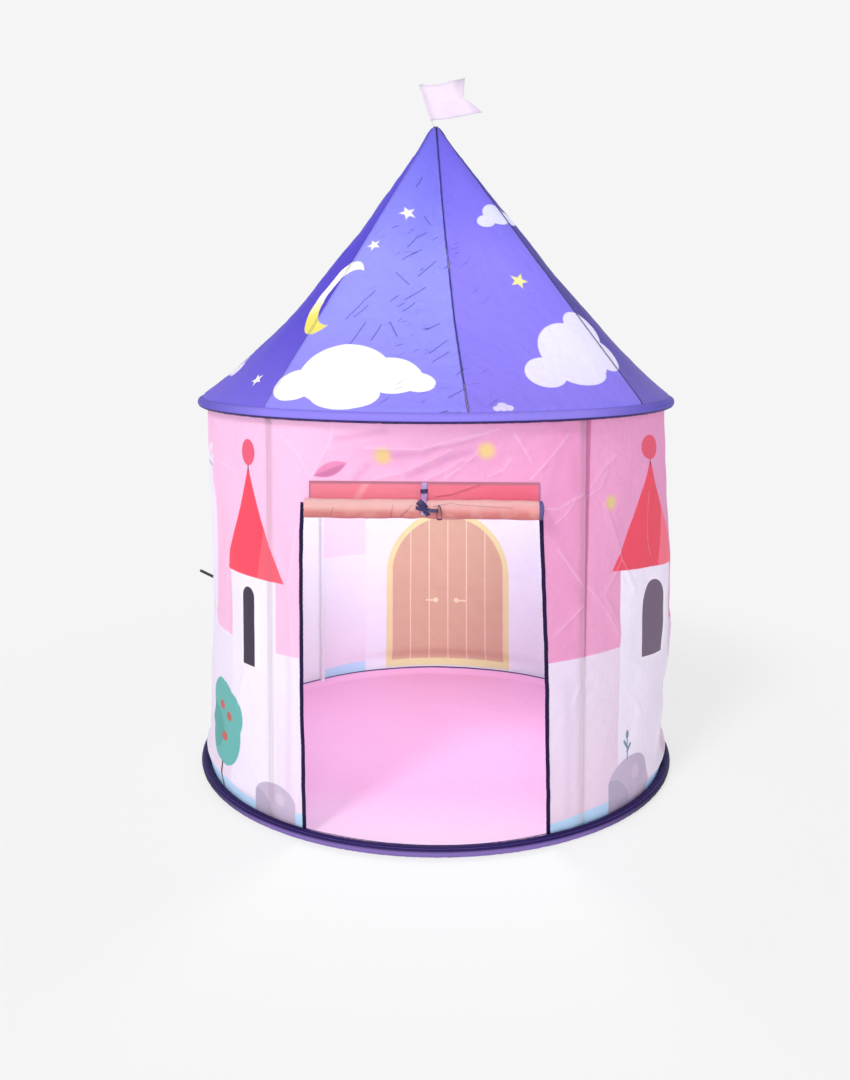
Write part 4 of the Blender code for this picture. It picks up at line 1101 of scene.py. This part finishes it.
# Painted shade: the gore right of the front seam a little darker than the front one, and the gores round the
# sides and back darker still.
gore_painted_shades = ((180 + front_seam * FAN, "A294F4"), (-35.8 * FAN, "6553D7"), (180 + 54.2 * FAN, "6457B2"))
for heading, tone in gore_painted_shades:
    roof_print.lay(roof_print.beyond(roof_print.cloth, 0, 0, heading), tone, 0.0004)
tip_reach = roof_print.vector("LENGTH", roof_print.cloth)
roof_print.fade(tip_reach, 0.40, 0.04, "7468EC", 0.75)
roof_print.fade(tip_reach, 0.55, 0.80, "A493F4", 0.5)
near_seam = roof_print.beyond(roof_print.cloth, -0.035, -0.2, front_seam * FAN)
near_seam = roof_print.ramp(roof_print.maths("ABSOLUTE", near_seam), 0.05, 0.16, 1.0, 0.10)
# Short creases near the front seam, sunk and darkened with painted shade.
roof_print.dashes(math.radians(46), 0.230, 0.0026, 0.6, 0.048, 0.0042, near_seam)
roof_print.dashes(math.radians(24), 0.220, 0.0020, 0.5, 0.036, 0.0034, near_seam)
# Painted shade along the creases of the roof.
roof_print.paint_crease_light_and_shade(ROOF_CREASES, "281E7C", 0.85, 0.0007, 0.0014)
for degrees, from_tip, size, lobes, colour in (
    (-17.5, 0.722, 0.155, BROAD_CLOUD, "FFFFFF"),
    (42.0, 0.665, 0.140, ROUND_CLOUD, "F1EDFC"),
    (48.0, 0.285, 0.056, SMALL_CLOUD, "ECEBFB"),
    (-70.0, 0.705, 0.056, SMALL_CLOUD, "F4EEFB"),
    (16.5, 0.792, 0.020, SMALL_CLOUD, "EDE5F9"),
    (98.0, 0.640, 0.130, BROAD_CLOUD, "EFE8F9"),
    (150.0, 0.690, 0.135, ROUND_CLOUD, "F4EEFB"),
    (-158.0, 0.690, 0.145, BROAD_CLOUD, "F4EEFB"),
    (-112.0, 0.560, 0.085, SMALL_CLOUD, "F0E9FA"),
    (172.0, 0.360, 0.060, SMALL_CLOUD, "F0E9FA"),
):
    print_cloud(roof_print, *on_fan(degrees, from_tip), size, lobes, colour)
for degrees, from_tip, size, colour in (
    (-17.4, 0.275, 0.019, "FBF7F0"),
    (-29.1, 0.376, 0.016, "FBF7F0"),
    (38.1, 0.467, 0.021, "F8EFB0"),
    (-44.7, 0.740, 0.017, "FBF7F0"),
    (80.0, 0.420, 0.018, "F8EFB0"),
    (118.0, 0.420, 0.019, "FBF7F0"),
    (142.0, 0.500, 0.017, "F8EFB0"),
    (-140.0, 0.470, 0.019, "FBF7F0"),
    (-96.0, 0.400, 0.018, "F8EFB0"),
    (-84.0, 0.690, 0.018, "FBF7F0"),
    (178.0, 0.560, 0.018, "F8EFB0"),
):
    x, y, turn = on_fan(degrees, from_tip)
    print_star(roof_print, x, y, size, 0.3 - turn, colour)
moon_spot = roof_print.turned(-0.2233, -0.470, math.radians(-27.9))
moon_bite = roof_print.oval(moon_spot, 0.048, 0.004, 0.044, 0.076)
moon = roof_print.both(roof_print.oval(moon_spot, 0.026, 0.0, 0.045, 0.100), roof_print.outside(moon_bite))
moon_mask = roof_print.mask(moon)
roof_print.blend(moon_mask, "FFFDF4")
yellow = roof_print.ramp(roof_print.along(1), -0.47, -0.52)
roof_print.blend(roof_print.maths("MULTIPLY", moon_mask, yellow), "F3E97E")
from_seam = roof_print.along(0, roof_print.out("ShaderNodeUVMap", uv_map="seam"))
roof_print.lay(roof_print.maths("SUBTRACT", from_seam, 0.0018), "251C6E", 0.0007)
roof_material = roof_print.finish(roughness=0.66, sheen=0.10, crinkle=0.0012)

gore_shares, gore_ups = np.meshgrid(with_hems(0, 1, 1 / 62, 0.003), with_hems(0, ROOF_LENGTH, 0.0060))
stitch_ups = np.linspace(0.012, ROOF_LENGTH - 0.02, 150)
SEAM_GAP = 0.0002
STITCH_INSET = 0.0030
for number in range(8):
    start, end = ROOF_TURN + number * GORE, ROOF_TURN + number * GORE + GORE
    from_tip = ROOF_LENGTH - gore_ups + TIP_GAP
    inset = (0.5 - gore_shares) * 2 * SEAM_GAP / (EDGE_RADIUS * from_tip)
    azimuths = np.clip(start + GORE * gore_shares + inset, start, end)
    middle = (start + GORE / 2 + math.pi) % math.tau - math.pi
    bearing = (middle + (azimuths - start - GORE / 2)) * FAN
    gore = cloth_sheet(
        f"roof_gore_{number + 1}_sheet",
        roof_place(azimuths, gore_ups),
        np.stack([from_tip * np.sin(bearing), -from_tip * np.cos(bearing)], -1),
        roof_material,
        ROOF_CLOTH,
    )
    from_left = 1.0 if number == 7 else azimuths - start
    from_right = 1.0 if number == 6 else end - azimuths
    to_seam = np.minimum(from_left, from_right) * EDGE_RADIUS * from_tip / ROOF_LENGTH
    second_map(gore, np.stack([to_seam, gore_ups], -1))
    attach(gore, "tent")
    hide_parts(f"roof_gore_{number + 1}")
    inset = STITCH_INSET * ROOF_LENGTH / (EDGE_RADIUS * (ROOF_LENGTH - stitch_ups + TIP_GAP))
    for azimuths in (start + inset, end - inset):
        stitch_runs["roof"].append(roof_place(azimuths, stitch_ups))

dress(solid_finish("hub_plastic", "3E3384", 0.38, scale=200.0), "apex_hub")

# Flag. A plain swallow-tailed flag of thin satin. Its hem is sewn into a tube that turns freely on a
# slim white stick, which lifts out of the hub. Its upper tip has curled back.
STICK_LEAN = math.radians(19)
STICK_PIVOT = 1.419
STICK_UNDER = 0.009
HOIST_LOW = 0.034
HOIST = 0.084
FLY = 0.113
NOTCH = 0.031
HEM = 0.0036
HEM_TUBE = 0.0029
HEM_OPEN = 0.35
FLAG_CLOTH = 0.0005

dress(solid_finish("flag_stick", "EFEAF2", 0.42, scale=600.0), "flag_stick")
flag_print = Printing("flag_cloth", "FDF1FE")
flag_print.fade(flag_print.along(0), 0.085, 0.115, "E4D6EE", 0.9)
flag_edges = flag_print.out("ShaderNodeUVMap", uv_map="seam")
# The hems are real; the darker line at their inner edge and the darker band along the top and bottom edges
# are painted shade.
for axis in (0, 1):
    hem_line = flag_print.maths("SUBTRACT", flag_print.along(axis, flag_edges), HEM)
    hem_line = flag_print.maths("SUBTRACT", flag_print.maths("ABSOLUTE", hem_line), 0.0003)
    flag_print.lay(hem_line, "E4DAEA", 0.0003)
flag_print.fade(flag_print.along(1, flag_edges), HEM, 0.0, "E6DEEC", 0.8)
flag_material = flag_print.finish(roughness=0.5, sheen=0.2, crinkle=0.0006)

hoist, columns = np.meshgrid(np.linspace(0, 1, 70), np.arange(112), indexing="ij")
fly = FLY - NOTCH * (1 - np.abs(2 * hoist - 1) ** 0.9)
turn = HEM_OPEN + (math.tau - 2 * HEM_OPEN) * np.clip((columns - 6) / 18, 0, 1)
share = np.clip((columns - 24) / 87, 0, 1)
under_hem = np.clip((6 - columns) / 6, 0, 1)
wave = 0.0075 * share * np.sin(math.tau * (share + hoist / 8))
wave = wave + 0.002 * np.sin(9 * share + 5 * hoist) * share
curl = ease((share - 0.55) / 0.45) * ease((hoist - 0.45) / 0.55)
flag_x = HEM_TUBE * np.cos(turn) + share * (fly - HEM_TUBE * math.cos(HEM_OPEN))
flag_x = flag_x + under_hem * 0.006 - 0.010 * curl
flag_y = HEM_TUBE * np.sin(turn) * (1 - 0.75 * ease(share * 12)) * (1 - 0.5 * under_hem)
flag_y = flag_y + wave + 0.014 * curl
flag_up = HOIST * hoist + hoist * (0.0335 * share**2 - 0.047 * share)
flag_up = flag_up + (1 - hoist) * (0.0095 * share**2 - 0.030 * share)
flag_up = flag_up + 0.0006 * np.sin(70 * hoist + 3 * share) * (share == 0)
stick_place = Matrix.Translation((0, 0, STICK_PIVOT)) @ Matrix.Rotation(-STICK_LEAN, 4, "Y")
stick_place = stick_place @ Matrix.Translation((0, 0, -STICK_UNDER))
flag_points = np.stack([flag_x, flag_y, HOIST_LOW + flag_up], -1)
flag_points = flag_points @ np.array(stick_place.to_3x3()).T + np.array(stick_place.translation)
flag = cloth_sheet(
    "flag_sheet", flag_points, np.stack([flag_x, HOIST * hoist], -1), flag_material, FLAG_CLOTH
)
second_map(flag, np.stack([fly * (1 - share), np.minimum(hoist, 1 - hoist) * HOIST], -1))
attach(flag, "flag")
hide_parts("flag")

# Door flap. Coral lining cloth. A strip hangs from the seam over the doorway, and the rest is rolled
# up in front of it, some nine turns. Its two side edges are bound with narrow tape.
FLAP_CLOTH = 0.0006
FLAP_FACE = -0.4627
FLAP_HALF = 0.2165
ROLL_AXIS = (-0.4817, 0.640)
ROLL_RADIUS = 0.0179
ROLL_PITCH = 0.00172
ROLL_TURNS = 9.2
ROLL_HALF = 0.2205
TIE_SPOT = -0.001
ROLL_CREASES = creases(
    ((-108, 622), (-88, 640), (-72, 655), 1.6, 3),
    ((-171, 628), (-166, 642), -1.2, 1.8),
    ((-61, 622), (-55, 648), -1.6, 1.6),
    ((-52, 624), (-24, 650), 2.6, 2.6),
    ((-46, 624), (-19, 648), -1.8, 2),
    ((20, 646), (52, 652), (78, 649), (165, 644), -2.2, 2),
    ((105, 624), (135, 640), (165, 646), 1.6, 3),
    ((30, 630), (90, 634), 1.2, 3),
    ((-200, 640), (-140, 650), 1.2, 3),
)
FLAP_CREASES = creases(
    ((22, 660), (50, 664), (105, 683), 2.0, 2.6),
    ((26, 658), (55, 661), (110, 680), -1.6, 2.2),
    ((-125, 655), (-105, 683), 1.8, 3.5),
    ((-40, 659), (-12, 660), 1.2, 2.0),
)


def on_roll(points):
    """Places across the roll's front face, given by their heights, as places on the flat flap."""
    turns = [math.pi + math.asin(np.clip((z - ROLL_AXIS[1]) / 0.018, -1, 1)) for _, z in points]
    return [(x, turn * ROLL_RADIUS) for (x, _), turn in zip(points, turns)]


def roll_place(x, bend):
    """A point of the rolled flap. It starts behind the roll and winds down, forward and up."""
    around_roll = bend % math.tau
    dent = 0.0026 * np.exp(-(((x - TIE_SPOT) / 0.011) ** 2)) - 0.0003
    for points, depth, width in ROLL_CREASES:
        dent = dent - crease_line(x, around_roll * ROLL_RADIUS, on_roll(points), depth, width)
    dent = dent - 0.0012 * np.abs(np.sin(19 * x + around_roll / 2))
    dent = dent - 0.0004 * np.sin(95 * x - 2 * around_roll)
    radius = (ROLL_RADIUS - ROLL_PITCH * bend / math.tau) * (1 - dent / ROLL_RADIUS)
    return np.stack([x, ROLL_AXIS[0] + radius * np.cos(bend), ROLL_AXIS[1] - radius * np.sin(bend)], axis=-1)


roll_print = Printing("rolled_cloth", "FCCBC8")
along_roll, round_roll = roll_print.along(0), roll_print.along(1)
roll_print.fade(along_roll, -0.02, 0.16, "FAA6B0", 0.6)
# Painted light on the roll: shade on its lower half, a highlight along its upper front, and pale patches of
# painted highlight.
roll_print.fade(round_roll, 0.0595, 0.050, "E98F8C", 0.9)
roll_print.fade(round_roll, 0.0600, 0.0690, "FFDDD9", 0.7)
roll_print.fade(roll_print.noise(roll_print.turned(0, 0, 0.7), 26.0, 2.0), 0.50, 0.66, "FFD6D0", 0.25)
roll_print.lay(roll_print.maths("SUBTRACT", ROLL_HALF - 0.0068, along_roll), "7468A6", 0.0004)
# Painted shade along the sunk creases.
dark_creases = [on_roll(points) for points, depth, _ in ROLL_CREASES if depth < 0]
roll_print.paint_crease_light_and_shade(dark_creases, "8E4A55", 0.75, 0.0003, 0.0008)
roll_material = roll_print.finish(roughness=0.6, crinkle=0.0012, uneven=0.04)
first_turn = np.linspace(0, math.tau, 60)[:-1]
bends = np.concatenate([first_turn, np.linspace(math.tau, math.tau * ROLL_TURNS, 200)])
spans, bends = np.meshgrid(with_hems(-1, 1, 1 / 62, 0.003), bends)
shift = 0.0016 * np.sin(2.1 * bends) + 0.0007 * np.sin(0.7 * bends + 1)
spans = spans * ROLL_HALF + shift * spans**4
lengths = ROLL_RADIUS * bends - ROLL_PITCH * bends**2 / (4 * math.pi)
door_roll = cloth_sheet(
    "door_roll_sheet", roll_place(spans, bends), np.stack([spans, lengths], -1), roll_material, FLAP_CLOTH
)
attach(door_roll, "door_roll")
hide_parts("door_roll")

flap_print = Printing("door_cloth", "FC9AAF")
flap_place = flap_print.node("ShaderNodeTexCoord").outputs["Object"]
flap_across, flap_up = flap_print.along(0, flap_place), flap_print.along(2, flap_place)
flap_print.fade(flap_across, -0.02, 0.14, "FB809E", 0.9)
# A painted highlight along the diagonal fold.
fold_run = flap_print.maths("SUBTRACT", flap_across, flap_print.maths("MULTIPLY", flap_up, 0.62))
fold_off = flap_print.maths("ABSOLUTE", flap_print.maths("ADD", fold_run, 0.532))
flap_print.fade(fold_off, 0.010, 0.003, "FFBCC6", 0.8)
flap_print.fade(flap_up, 0.6815, 0.6840, "C9889E", 0.9)
from_middle = flap_print.maths("ABSOLUTE", flap_across)
flap_print.lay(flap_print.maths("SUBTRACT", FLAP_HALF - 0.0030, from_middle), "C58FB4")
# Painted shade along the first crease.
flap_print.paint_crease_light_and_shade([FLAP_CREASES[0][0]], "7A2F4A", 0.8, 0.0003, 0.0009)
flap_material = flap_print.finish(roughness=0.6, crinkle=0.0008, uneven=0.04)
spans, rises = np.meshgrid(with_hems(-FLAP_HALF, FLAP_HALF, 0.0052), np.linspace(0.6405, 0.6880, 64))
hang = ease((0.688 - rises) / 0.012) * ease((rises - 0.640) / 0.010)
bulges = ripples(spans, rises, 91, 0.10, 0.0010)
for crease in FLAP_CREASES:
    bulges = bulges + crease_line(spans, rises, *crease)
over_tape = 0.0020 * ease((spans - 0.2060) / 0.0050) * ease((0.6868 - rises) / 0.0030)
curtain_points = np.stack([spans, FLAP_FACE - hang * bulges * 0.6 - over_tape, rises], -1)
curtain = cloth_sheet(
    "door_curtain_sheet", curtain_points, np.stack([spans, rises], -1), flap_material, FLAP_CLOTH
)
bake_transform(curtain)
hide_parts("door_curtain")

# Ties. A satin ribbon is sewn to the seam outside and another one inside, to hold the rolled flap. The
# outer one comes down over the roll and ends in a loose bow, here with its loops as they fell.
RIBBON_WIDTH = 0.0105
RIBBON_CLOTH = 0.0004
ribbon_dark = solid_finish("ribbon_dark", "2A1754", 0.42, scale=900.0, depth=0.00006)
# The hanging piece is the same dark ribbon, printed pale as a painted sheen.
ribbon_painted_sheen = solid_finish("ribbon_painted_sheen", "B9A2DC", 0.42, scale=900.0, depth=0.00006)


def smooth_path(points, steps=9):
    """A smooth run through the points."""
    points = np.array(points, float)
    padded = np.concatenate([[2 * points[0] - points[1]], points, [2 * points[-1] - points[-2]]])
    shares = np.linspace(0, 1, steps, endpoint=False)[:, None]
    run = []
    for one, two, three, four in zip(padded, padded[1:], padded[2:], padded[3:]):
        slope = three - one
        bend = 2 * one - 5 * two + 4 * three - four
        twist = 3 * two - one - 3 * three + four
        run.append(two + 0.5 * (slope * shares + bend * shares**2 + twist * shares**3))
    return np.concatenate([*run, points[-1:]])


def ribbon(name, path, across, width, material):
    """A ribbon along the path, its width laid along the direction given, cupped a little."""
    run = smooth_path(path)
    across = smooth_path([across] * 2, len(run) - 1) if np.ndim(across[0]) == 0 else smooth_path(across)
    across = across / np.linalg.norm(across, axis=1)[:, None]
    forward = np.gradient(run, axis=0)
    normal = np.cross(across, forward)
    normal = normal / np.linalg.norm(normal, axis=1)[:, None]
    spread = np.linspace(-0.5, 0.5, 7)
    points = run[:, None] + width * spread[None, :, None] * across[:, None]
    points = points + 0.0006 * (0.25 - spread**2)[None, :, None] * 4 * normal[:, None]
    gone = np.concatenate([[0], np.cumsum(np.linalg.norm(np.diff(run, axis=0), axis=1))])
    flat = np.stack(np.broadcast_arrays(width * spread[None], gone[:, None]), -1)
    strip = cloth_sheet(name, points, flat, material, RIBBON_CLOTH)
    return strip, width * gone[-1], gone[-1]


def before_roll(*points):
    """Points in millimetres: across, in front of the roll, and up."""
    return [(x / 1000, ROLL_AXIS[0] - 0.0205 - out / 1000, z / 1000) for x, out, z in points]


hug = [
    (TIE_SPOT + 0.002, ROLL_AXIS[0] + 0.0192 * math.cos(bend), ROLL_AXIS[1] - 0.0192 * math.sin(bend))
    for bend in (4.9, 4.4, 3.9, 3.4)
]
hang = [*before_roll((1, -38, 686.2), (1, -37.7, 666.5)), *hug, *before_roll((2, 0, 640), (3, 0.5, 632))]
stay = before_roll((-6.2, -36.7, 670), (-3, -33.8, 670.6), (3, -33.2, 670.9), (7.8, -36.7, 671.2))
knot = before_roll((0.5, 0.5, 638.5), (2, 5, 641.5), (6, 5.5, 643.5), (9, 0.6, 645))
left_loop = before_roll(
    (6, 3, 645), (-1, 7, 652.5), (-6.8, 6, 657.5), (-6.6, 2, 657.2), (0, 0.8, 651.5), (6, 2, 644)
)
left_end = before_roll((5, 3, 642.5), (-2, 4.5, 643.5), (-8, 3.5, 645.2), (-12.2, 4.2, 646.2))
low_end = before_roll((5, 4, 643), (7, 5.2, 638.5), (10, 4.8, 634.5), (11.2, 4, 631.5))
right_ribbon = before_roll((6, 3, 642.5), (14, 5, 641.8), (22, 4.6, 641), (29, 4.2, 641.2))
right_loop = before_roll(
    (27, 4.2, 640), (29.2, 4, 648), (31.2, 4, 650.2), (34, 4.2, 643), (35.4, 4.4, 634),
    (35.7, 4.4, 626.2), (31.2, 4.4, 625.2), (27.2, 4.4, 625.8), (26.8, 4.3, 634), (26.8, 4.3, 642),
)
laid, cut, run_length = [], 0, 0
for name, path, across, width, material in (
    ("hang", hang, (1, 0, 0), RIBBON_WIDTH, ribbon_painted_sheen),
    ("stay", stay, (0, 0, 1), 0.0072, ribbon_dark),
    ("knot", knot, (-0.5, 0, 1), 0.0115, ribbon_dark),
    ("left_loop", left_loop, (0.72, 0, 0.69), 0.0120, ribbon_dark),
    ("left_end", left_end, (0.15, 0, 1), 0.0066, ribbon_dark),
    ("low_end", low_end, (1, 0, 0.4), 0.0085, ribbon_dark),
    ("right_ribbon", right_ribbon, (0, 0.25, 1), 0.0064, ribbon_dark),
    ("right_loop", right_loop, (0, 1, 0.1), 0.0080, ribbon_dark),
):
    strip, area, length = ribbon("bow_" + name, path, across, width, material)
    laid.append(strip)
    cut += area
    run_length += length
bow = laid[0]
bow.name = "door_tie_outer_ribbon"
bow.data.materials.append(ribbon_dark)
whole = bmesh.new()
whole.from_mesh(bow.data)
for strip in laid[1:]:
    strip.data.polygons.foreach_set("material_index", [1] * len(strip.data.polygons))
    whole.from_mesh(strip.data)
    bpy.data.objects.remove(strip, do_unlink=True)
whole.to_mesh(bow.data)
whole.free()
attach(bow, "door_flap")
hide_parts("door_tie_outer")
cut = min(cut, RIBBON_WIDTH * run_length)
inner = before_roll((-1, -42.1, 686.5), (-1, -42.2, 668), (-0.4, -42.6, 645), (-1, -42.5, 620))
inner_tie, _, length = ribbon("door_tie_inner_ribbon", inner, (1, 0, 0), RIBBON_WIDTH, ribbon_dark)
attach(inner_tie, "tent")
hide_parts("door_tie_inner")

# Storage band. A loop of flat elastic sewn to the left wall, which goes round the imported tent. Pale
# rubber threads show between its dark ribs.
BAND_TURN = math.radians(-75)
BAND_HEIGHT = 0.420
BAND_REACH = 0.034
BAND_WIDTH = 0.0050
BAND_RISE = math.radians(29)
elastic = Printing("storage_elastic", "2B2436")
gaps = elastic.maths("SUBTRACT", 0.0012, elastic.maths("PINGPONG", elastic.along(1), 0.0016))
threads = elastic.maths("SUBTRACT", 0.00055, elastic.maths("PINGPONG", elastic.along(0), 0.0009))
elastic.lay(elastic.both(gaps, threads), "B9B2C4", 0.0002)
elastic_material = elastic.finish(roughness=0.7, crinkle=0.0001)
root_radius = WALL_RADIUS + float(side_out("wall_left", np.array([BAND_TURN]), np.array([BAND_HEIGHT]))[0])
outward = Vector((math.sin(BAND_TURN), -math.cos(BAND_TURN), 0))
tangent = Vector((math.cos(BAND_TURN), math.sin(BAND_TURN), 0))
outward_up = outward * math.cos(BAND_RISE) + Vector((0, 0, math.sin(BAND_RISE)))
root = outward * root_radius + Vector((0, 0, BAND_HEIGHT))
half_run = [(0.0004, 0.0022), (0.010, 0.0026), (0.020, 0.0030), (0.031, 0.0026)]
band_run = [*[(out, -side) for out, side in half_run], (BAND_REACH, 0.0), *half_run[::-1]]
band_path = [root + outward_up * out + tangent * side for out, side in band_run]
band_across = tuple(tangent.cross(outward_up))
band, area, length = ribbon("storage_band_elastic", band_path, band_across, BAND_WIDTH, elastic_material)
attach(band, "tent")
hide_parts("storage_band")

# Sewing. Every seam is topstitched with polyester thread in the colour of its part, in a straight run
# of short stitches a few millimetres from the edge of the cloth.
STITCH_STEP = 0.0042
STITCH_LENGTH = 0.0030
THREAD_RADIUS = 0.00032
stitch = Sewing("sew_stitches", "Stitch step", "Stitch length", "Thread radius")
step, length, radius = [stitch.given[label] for label in ("Stitch step", "Stitch length", "Thread radius")]
line = stitch.out("GeometryNodeMeshToCurve", stitch.given["Geometry"])
line = stitch.out("GeometryNodeResampleCurve", mode="LENGTH", sockets={"Curve": line, "Length": step})
bead = stitch.out("GeometryNodeMeshUVSphere", sockets={"Segments": 6, "Rings": 4, "Radius": 1.0})
bead_size = stitch.out("ShaderNodeCombineXYZ", stitch.maths("MULTIPLY", length, 0.5), radius, radius)
forward = stitch.out("GeometryNodeInputTangent")
heading = stitch.out("FunctionNodeAlignRotationToVector", axis="X", sockets={"Vector": forward})
sockets = {"Points": line, "Instance": bead, "Rotation": heading, "Scale": bead_size}
stitch.close(stitch.out("GeometryNodeInstanceOnPoints", sockets=sockets))

for place, lean in (("floor", 0.85), ("eave", -0.85)):
    channel = bpy.data.objects[f"{place}_hoop_channel"]
    cloth = BVHTree.FromObject(channel, bpy.context.evaluated_depsgraph_get())
    run = []
    for azimuth in np.linspace(0, math.tau, 900):
        away = Vector(around(azimuth, math.cos(lean), math.sin(lean)))
        middle = Vector(around(azimuth, CHANNEL_CIRCLE, CHANNEL_HEIGHTS[place]))
        hit = cloth.ray_cast(middle + away * 0.04, -away)[0]
        run.append(hit + away * THREAD_RADIUS / 2)
    stitch_runs["channel"].append(np.array(run))

for group, code in (("roof", "3A2F96"), ("wall", "E77FB4"), ("channel", "7B68C8"), ("door", "5B4A9A")):
    runs = bpy.data.meshes.new(group + "_runs")
    starts = np.cumsum([0] + [len(run) for run in stitch_runs[group]])
    pairs = [(spot, spot + 1) for start, end in zip(starts, starts[1:]) for spot in range(start, end - 1)]
    runs.from_pydata(np.concatenate(stitch_runs[group]).tolist(), pairs, [])
    thread = stitch.make(
        group + "_stitches",
        runs,
        {
            "Stitch step": STITCH_STEP,
            "Stitch length": STITCH_LENGTH,
            "Thread radius": THREAD_RADIUS,
            "Material": solid_finish(group + "_thread", code, 0.6, scale=2000.0),
        },
    )
    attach(thread, "tent")

# Stage. A pale floor that runs out into the backdrop, a soft sky, two broad lights from the front and
# a small lamp inside the tent.
BACKDROP = (0.913, 0.913, 0.913, 1)
FLOOR_TONE = (0.26, 0.26, 0.26, 1)
FLOOR_LIFT = (0.6985, 0.6985, 0.6985, 1)
FLOOR_REACH = 30
FLOOR_GAP = 0.0005
EVEN_FROM, EVEN_BEYOND = 0.75, 1.7
SKY_STRENGTH = 0.42
SUNS = (("key_light", -30, 40, 14, 1.45), ("door_light", 6, 10, 16, 0.95))
LAMP_POWER = 13.5
LAMP_COLOUR = (0.80, 1.0, 0.80)
LAMP_SIZE = 0.15
LAMP_HEIGHT = 0.80

scene = bpy.context.scene
ground = bpy.data.meshes.new("studio_floor")
corners = ((-1, -1), (1, -1), (1, 1), (-1, 1))
ground.from_pydata([(x * FLOOR_REACH, y * FLOOR_REACH, -FLOOR_GAP) for x, y in corners], [], [(0, 1, 2, 3)])
studio_floor = bpy.data.objects.new("studio_floor", ground)
scene.collection.objects.link(studio_floor)
floor_material = bpy.data.materials.new("studio_floor")
floor_material.use_nodes = True
floor_paint = Wiring(floor_material.node_tree)
floor_paint.tree.nodes.clear()
place = floor_paint.node("ShaderNodeTexCoord").outputs["Object"]
reach = floor_paint.node("ShaderNodeVectorMath", place, operation="LENGTH").outputs["Value"]
even_share = floor_paint.out(
    "ShaderNodeMapRange", reach, EVEN_FROM, EVEN_BEYOND, interpolation_type="SMOOTHSTEP"
)
diffuse = floor_paint.out("ShaderNodeBsdfDiffuse", FLOOR_TONE)
lit = floor_paint.out("ShaderNodeAddShader", diffuse, floor_paint.out("ShaderNodeEmission", FLOOR_LIFT))
even = floor_paint.out("ShaderNodeEmission", BACKDROP)
floor_paint.node("ShaderNodeOutputMaterial", floor_paint.out("ShaderNodeMixShader", even_share, lit, even))
ground.materials.append(floor_material)

world = bpy.data.worlds.new("studio")
scene.world = world
world.use_nodes = True
air = Wiring(world.node_tree)
air.tree.nodes.clear()
rays = air.node("ShaderNodeLightPath").outputs
seen = air.maths("MAXIMUM", rays["Is Camera Ray"], rays["Is Glossy Ray"])
sky = air.out("ShaderNodeBackground", (1, 1, 1, 1), SKY_STRENGTH)
backdrop = air.out("ShaderNodeBackground", BACKDROP)
air.node("ShaderNodeOutputWorld", air.out("ShaderNodeMixShader", seen, sky, backdrop))

for name, toward, elevation, softness, strength in SUNS:
    light = bpy.data.lights.new(name, "SUN")
    light.angle = math.radians(softness)
    light.energy = strength
    lamp = bpy.data.objects.new(name, light)
    scene.collection.objects.link(lamp)
    tip = Matrix.Rotation(math.radians(90 - elevation), 4, "X")
    lamp.matrix_world = Matrix.Rotation(math.radians(toward), 4, "Z") @ tip
light = bpy.data.lights.new("inside_light", "POINT")
light.shadow_soft_size = LAMP_SIZE
light.energy = LAMP_POWER
light.color = LAMP_COLOUR
lamp = bpy.data.objects.new("inside_light", light)
scene.collection.objects.link(lamp)
lamp.location = (0, 0, LAMP_HEIGHT)
lamp.visible_camera = False

# Camera. It stands where the photograph was taken from, 2.4 m from the tent's middle and almost a
# metre up, a little to the right of the doorway, and it looks slightly down.
CAMERA_TURN = math.radians(3.3)
CAMERA_PLACE = (-0.0243, -2.418, 0.984)  # before the turn
CAMERA_TIP = 0.055
lens = bpy.data.cameras.new("photo_camera")
lens.lens = 35.12
lens.sensor_width = 36
lens.shift_y = -0.1472
camera = bpy.data.objects.new("photo_camera", lens)
scene.collection.objects.link(camera)
camera.matrix_world = (
    Matrix.Rotation(CAMERA_TURN, 4, "Z")
    @ Matrix.Translation(CAMERA_PLACE)
    @ Matrix.Rotation(math.pi / 2 - CAMERA_TIP, 4, "X")
)
scene.camera = camera
scene.view_settings.view_transform = "Standard"
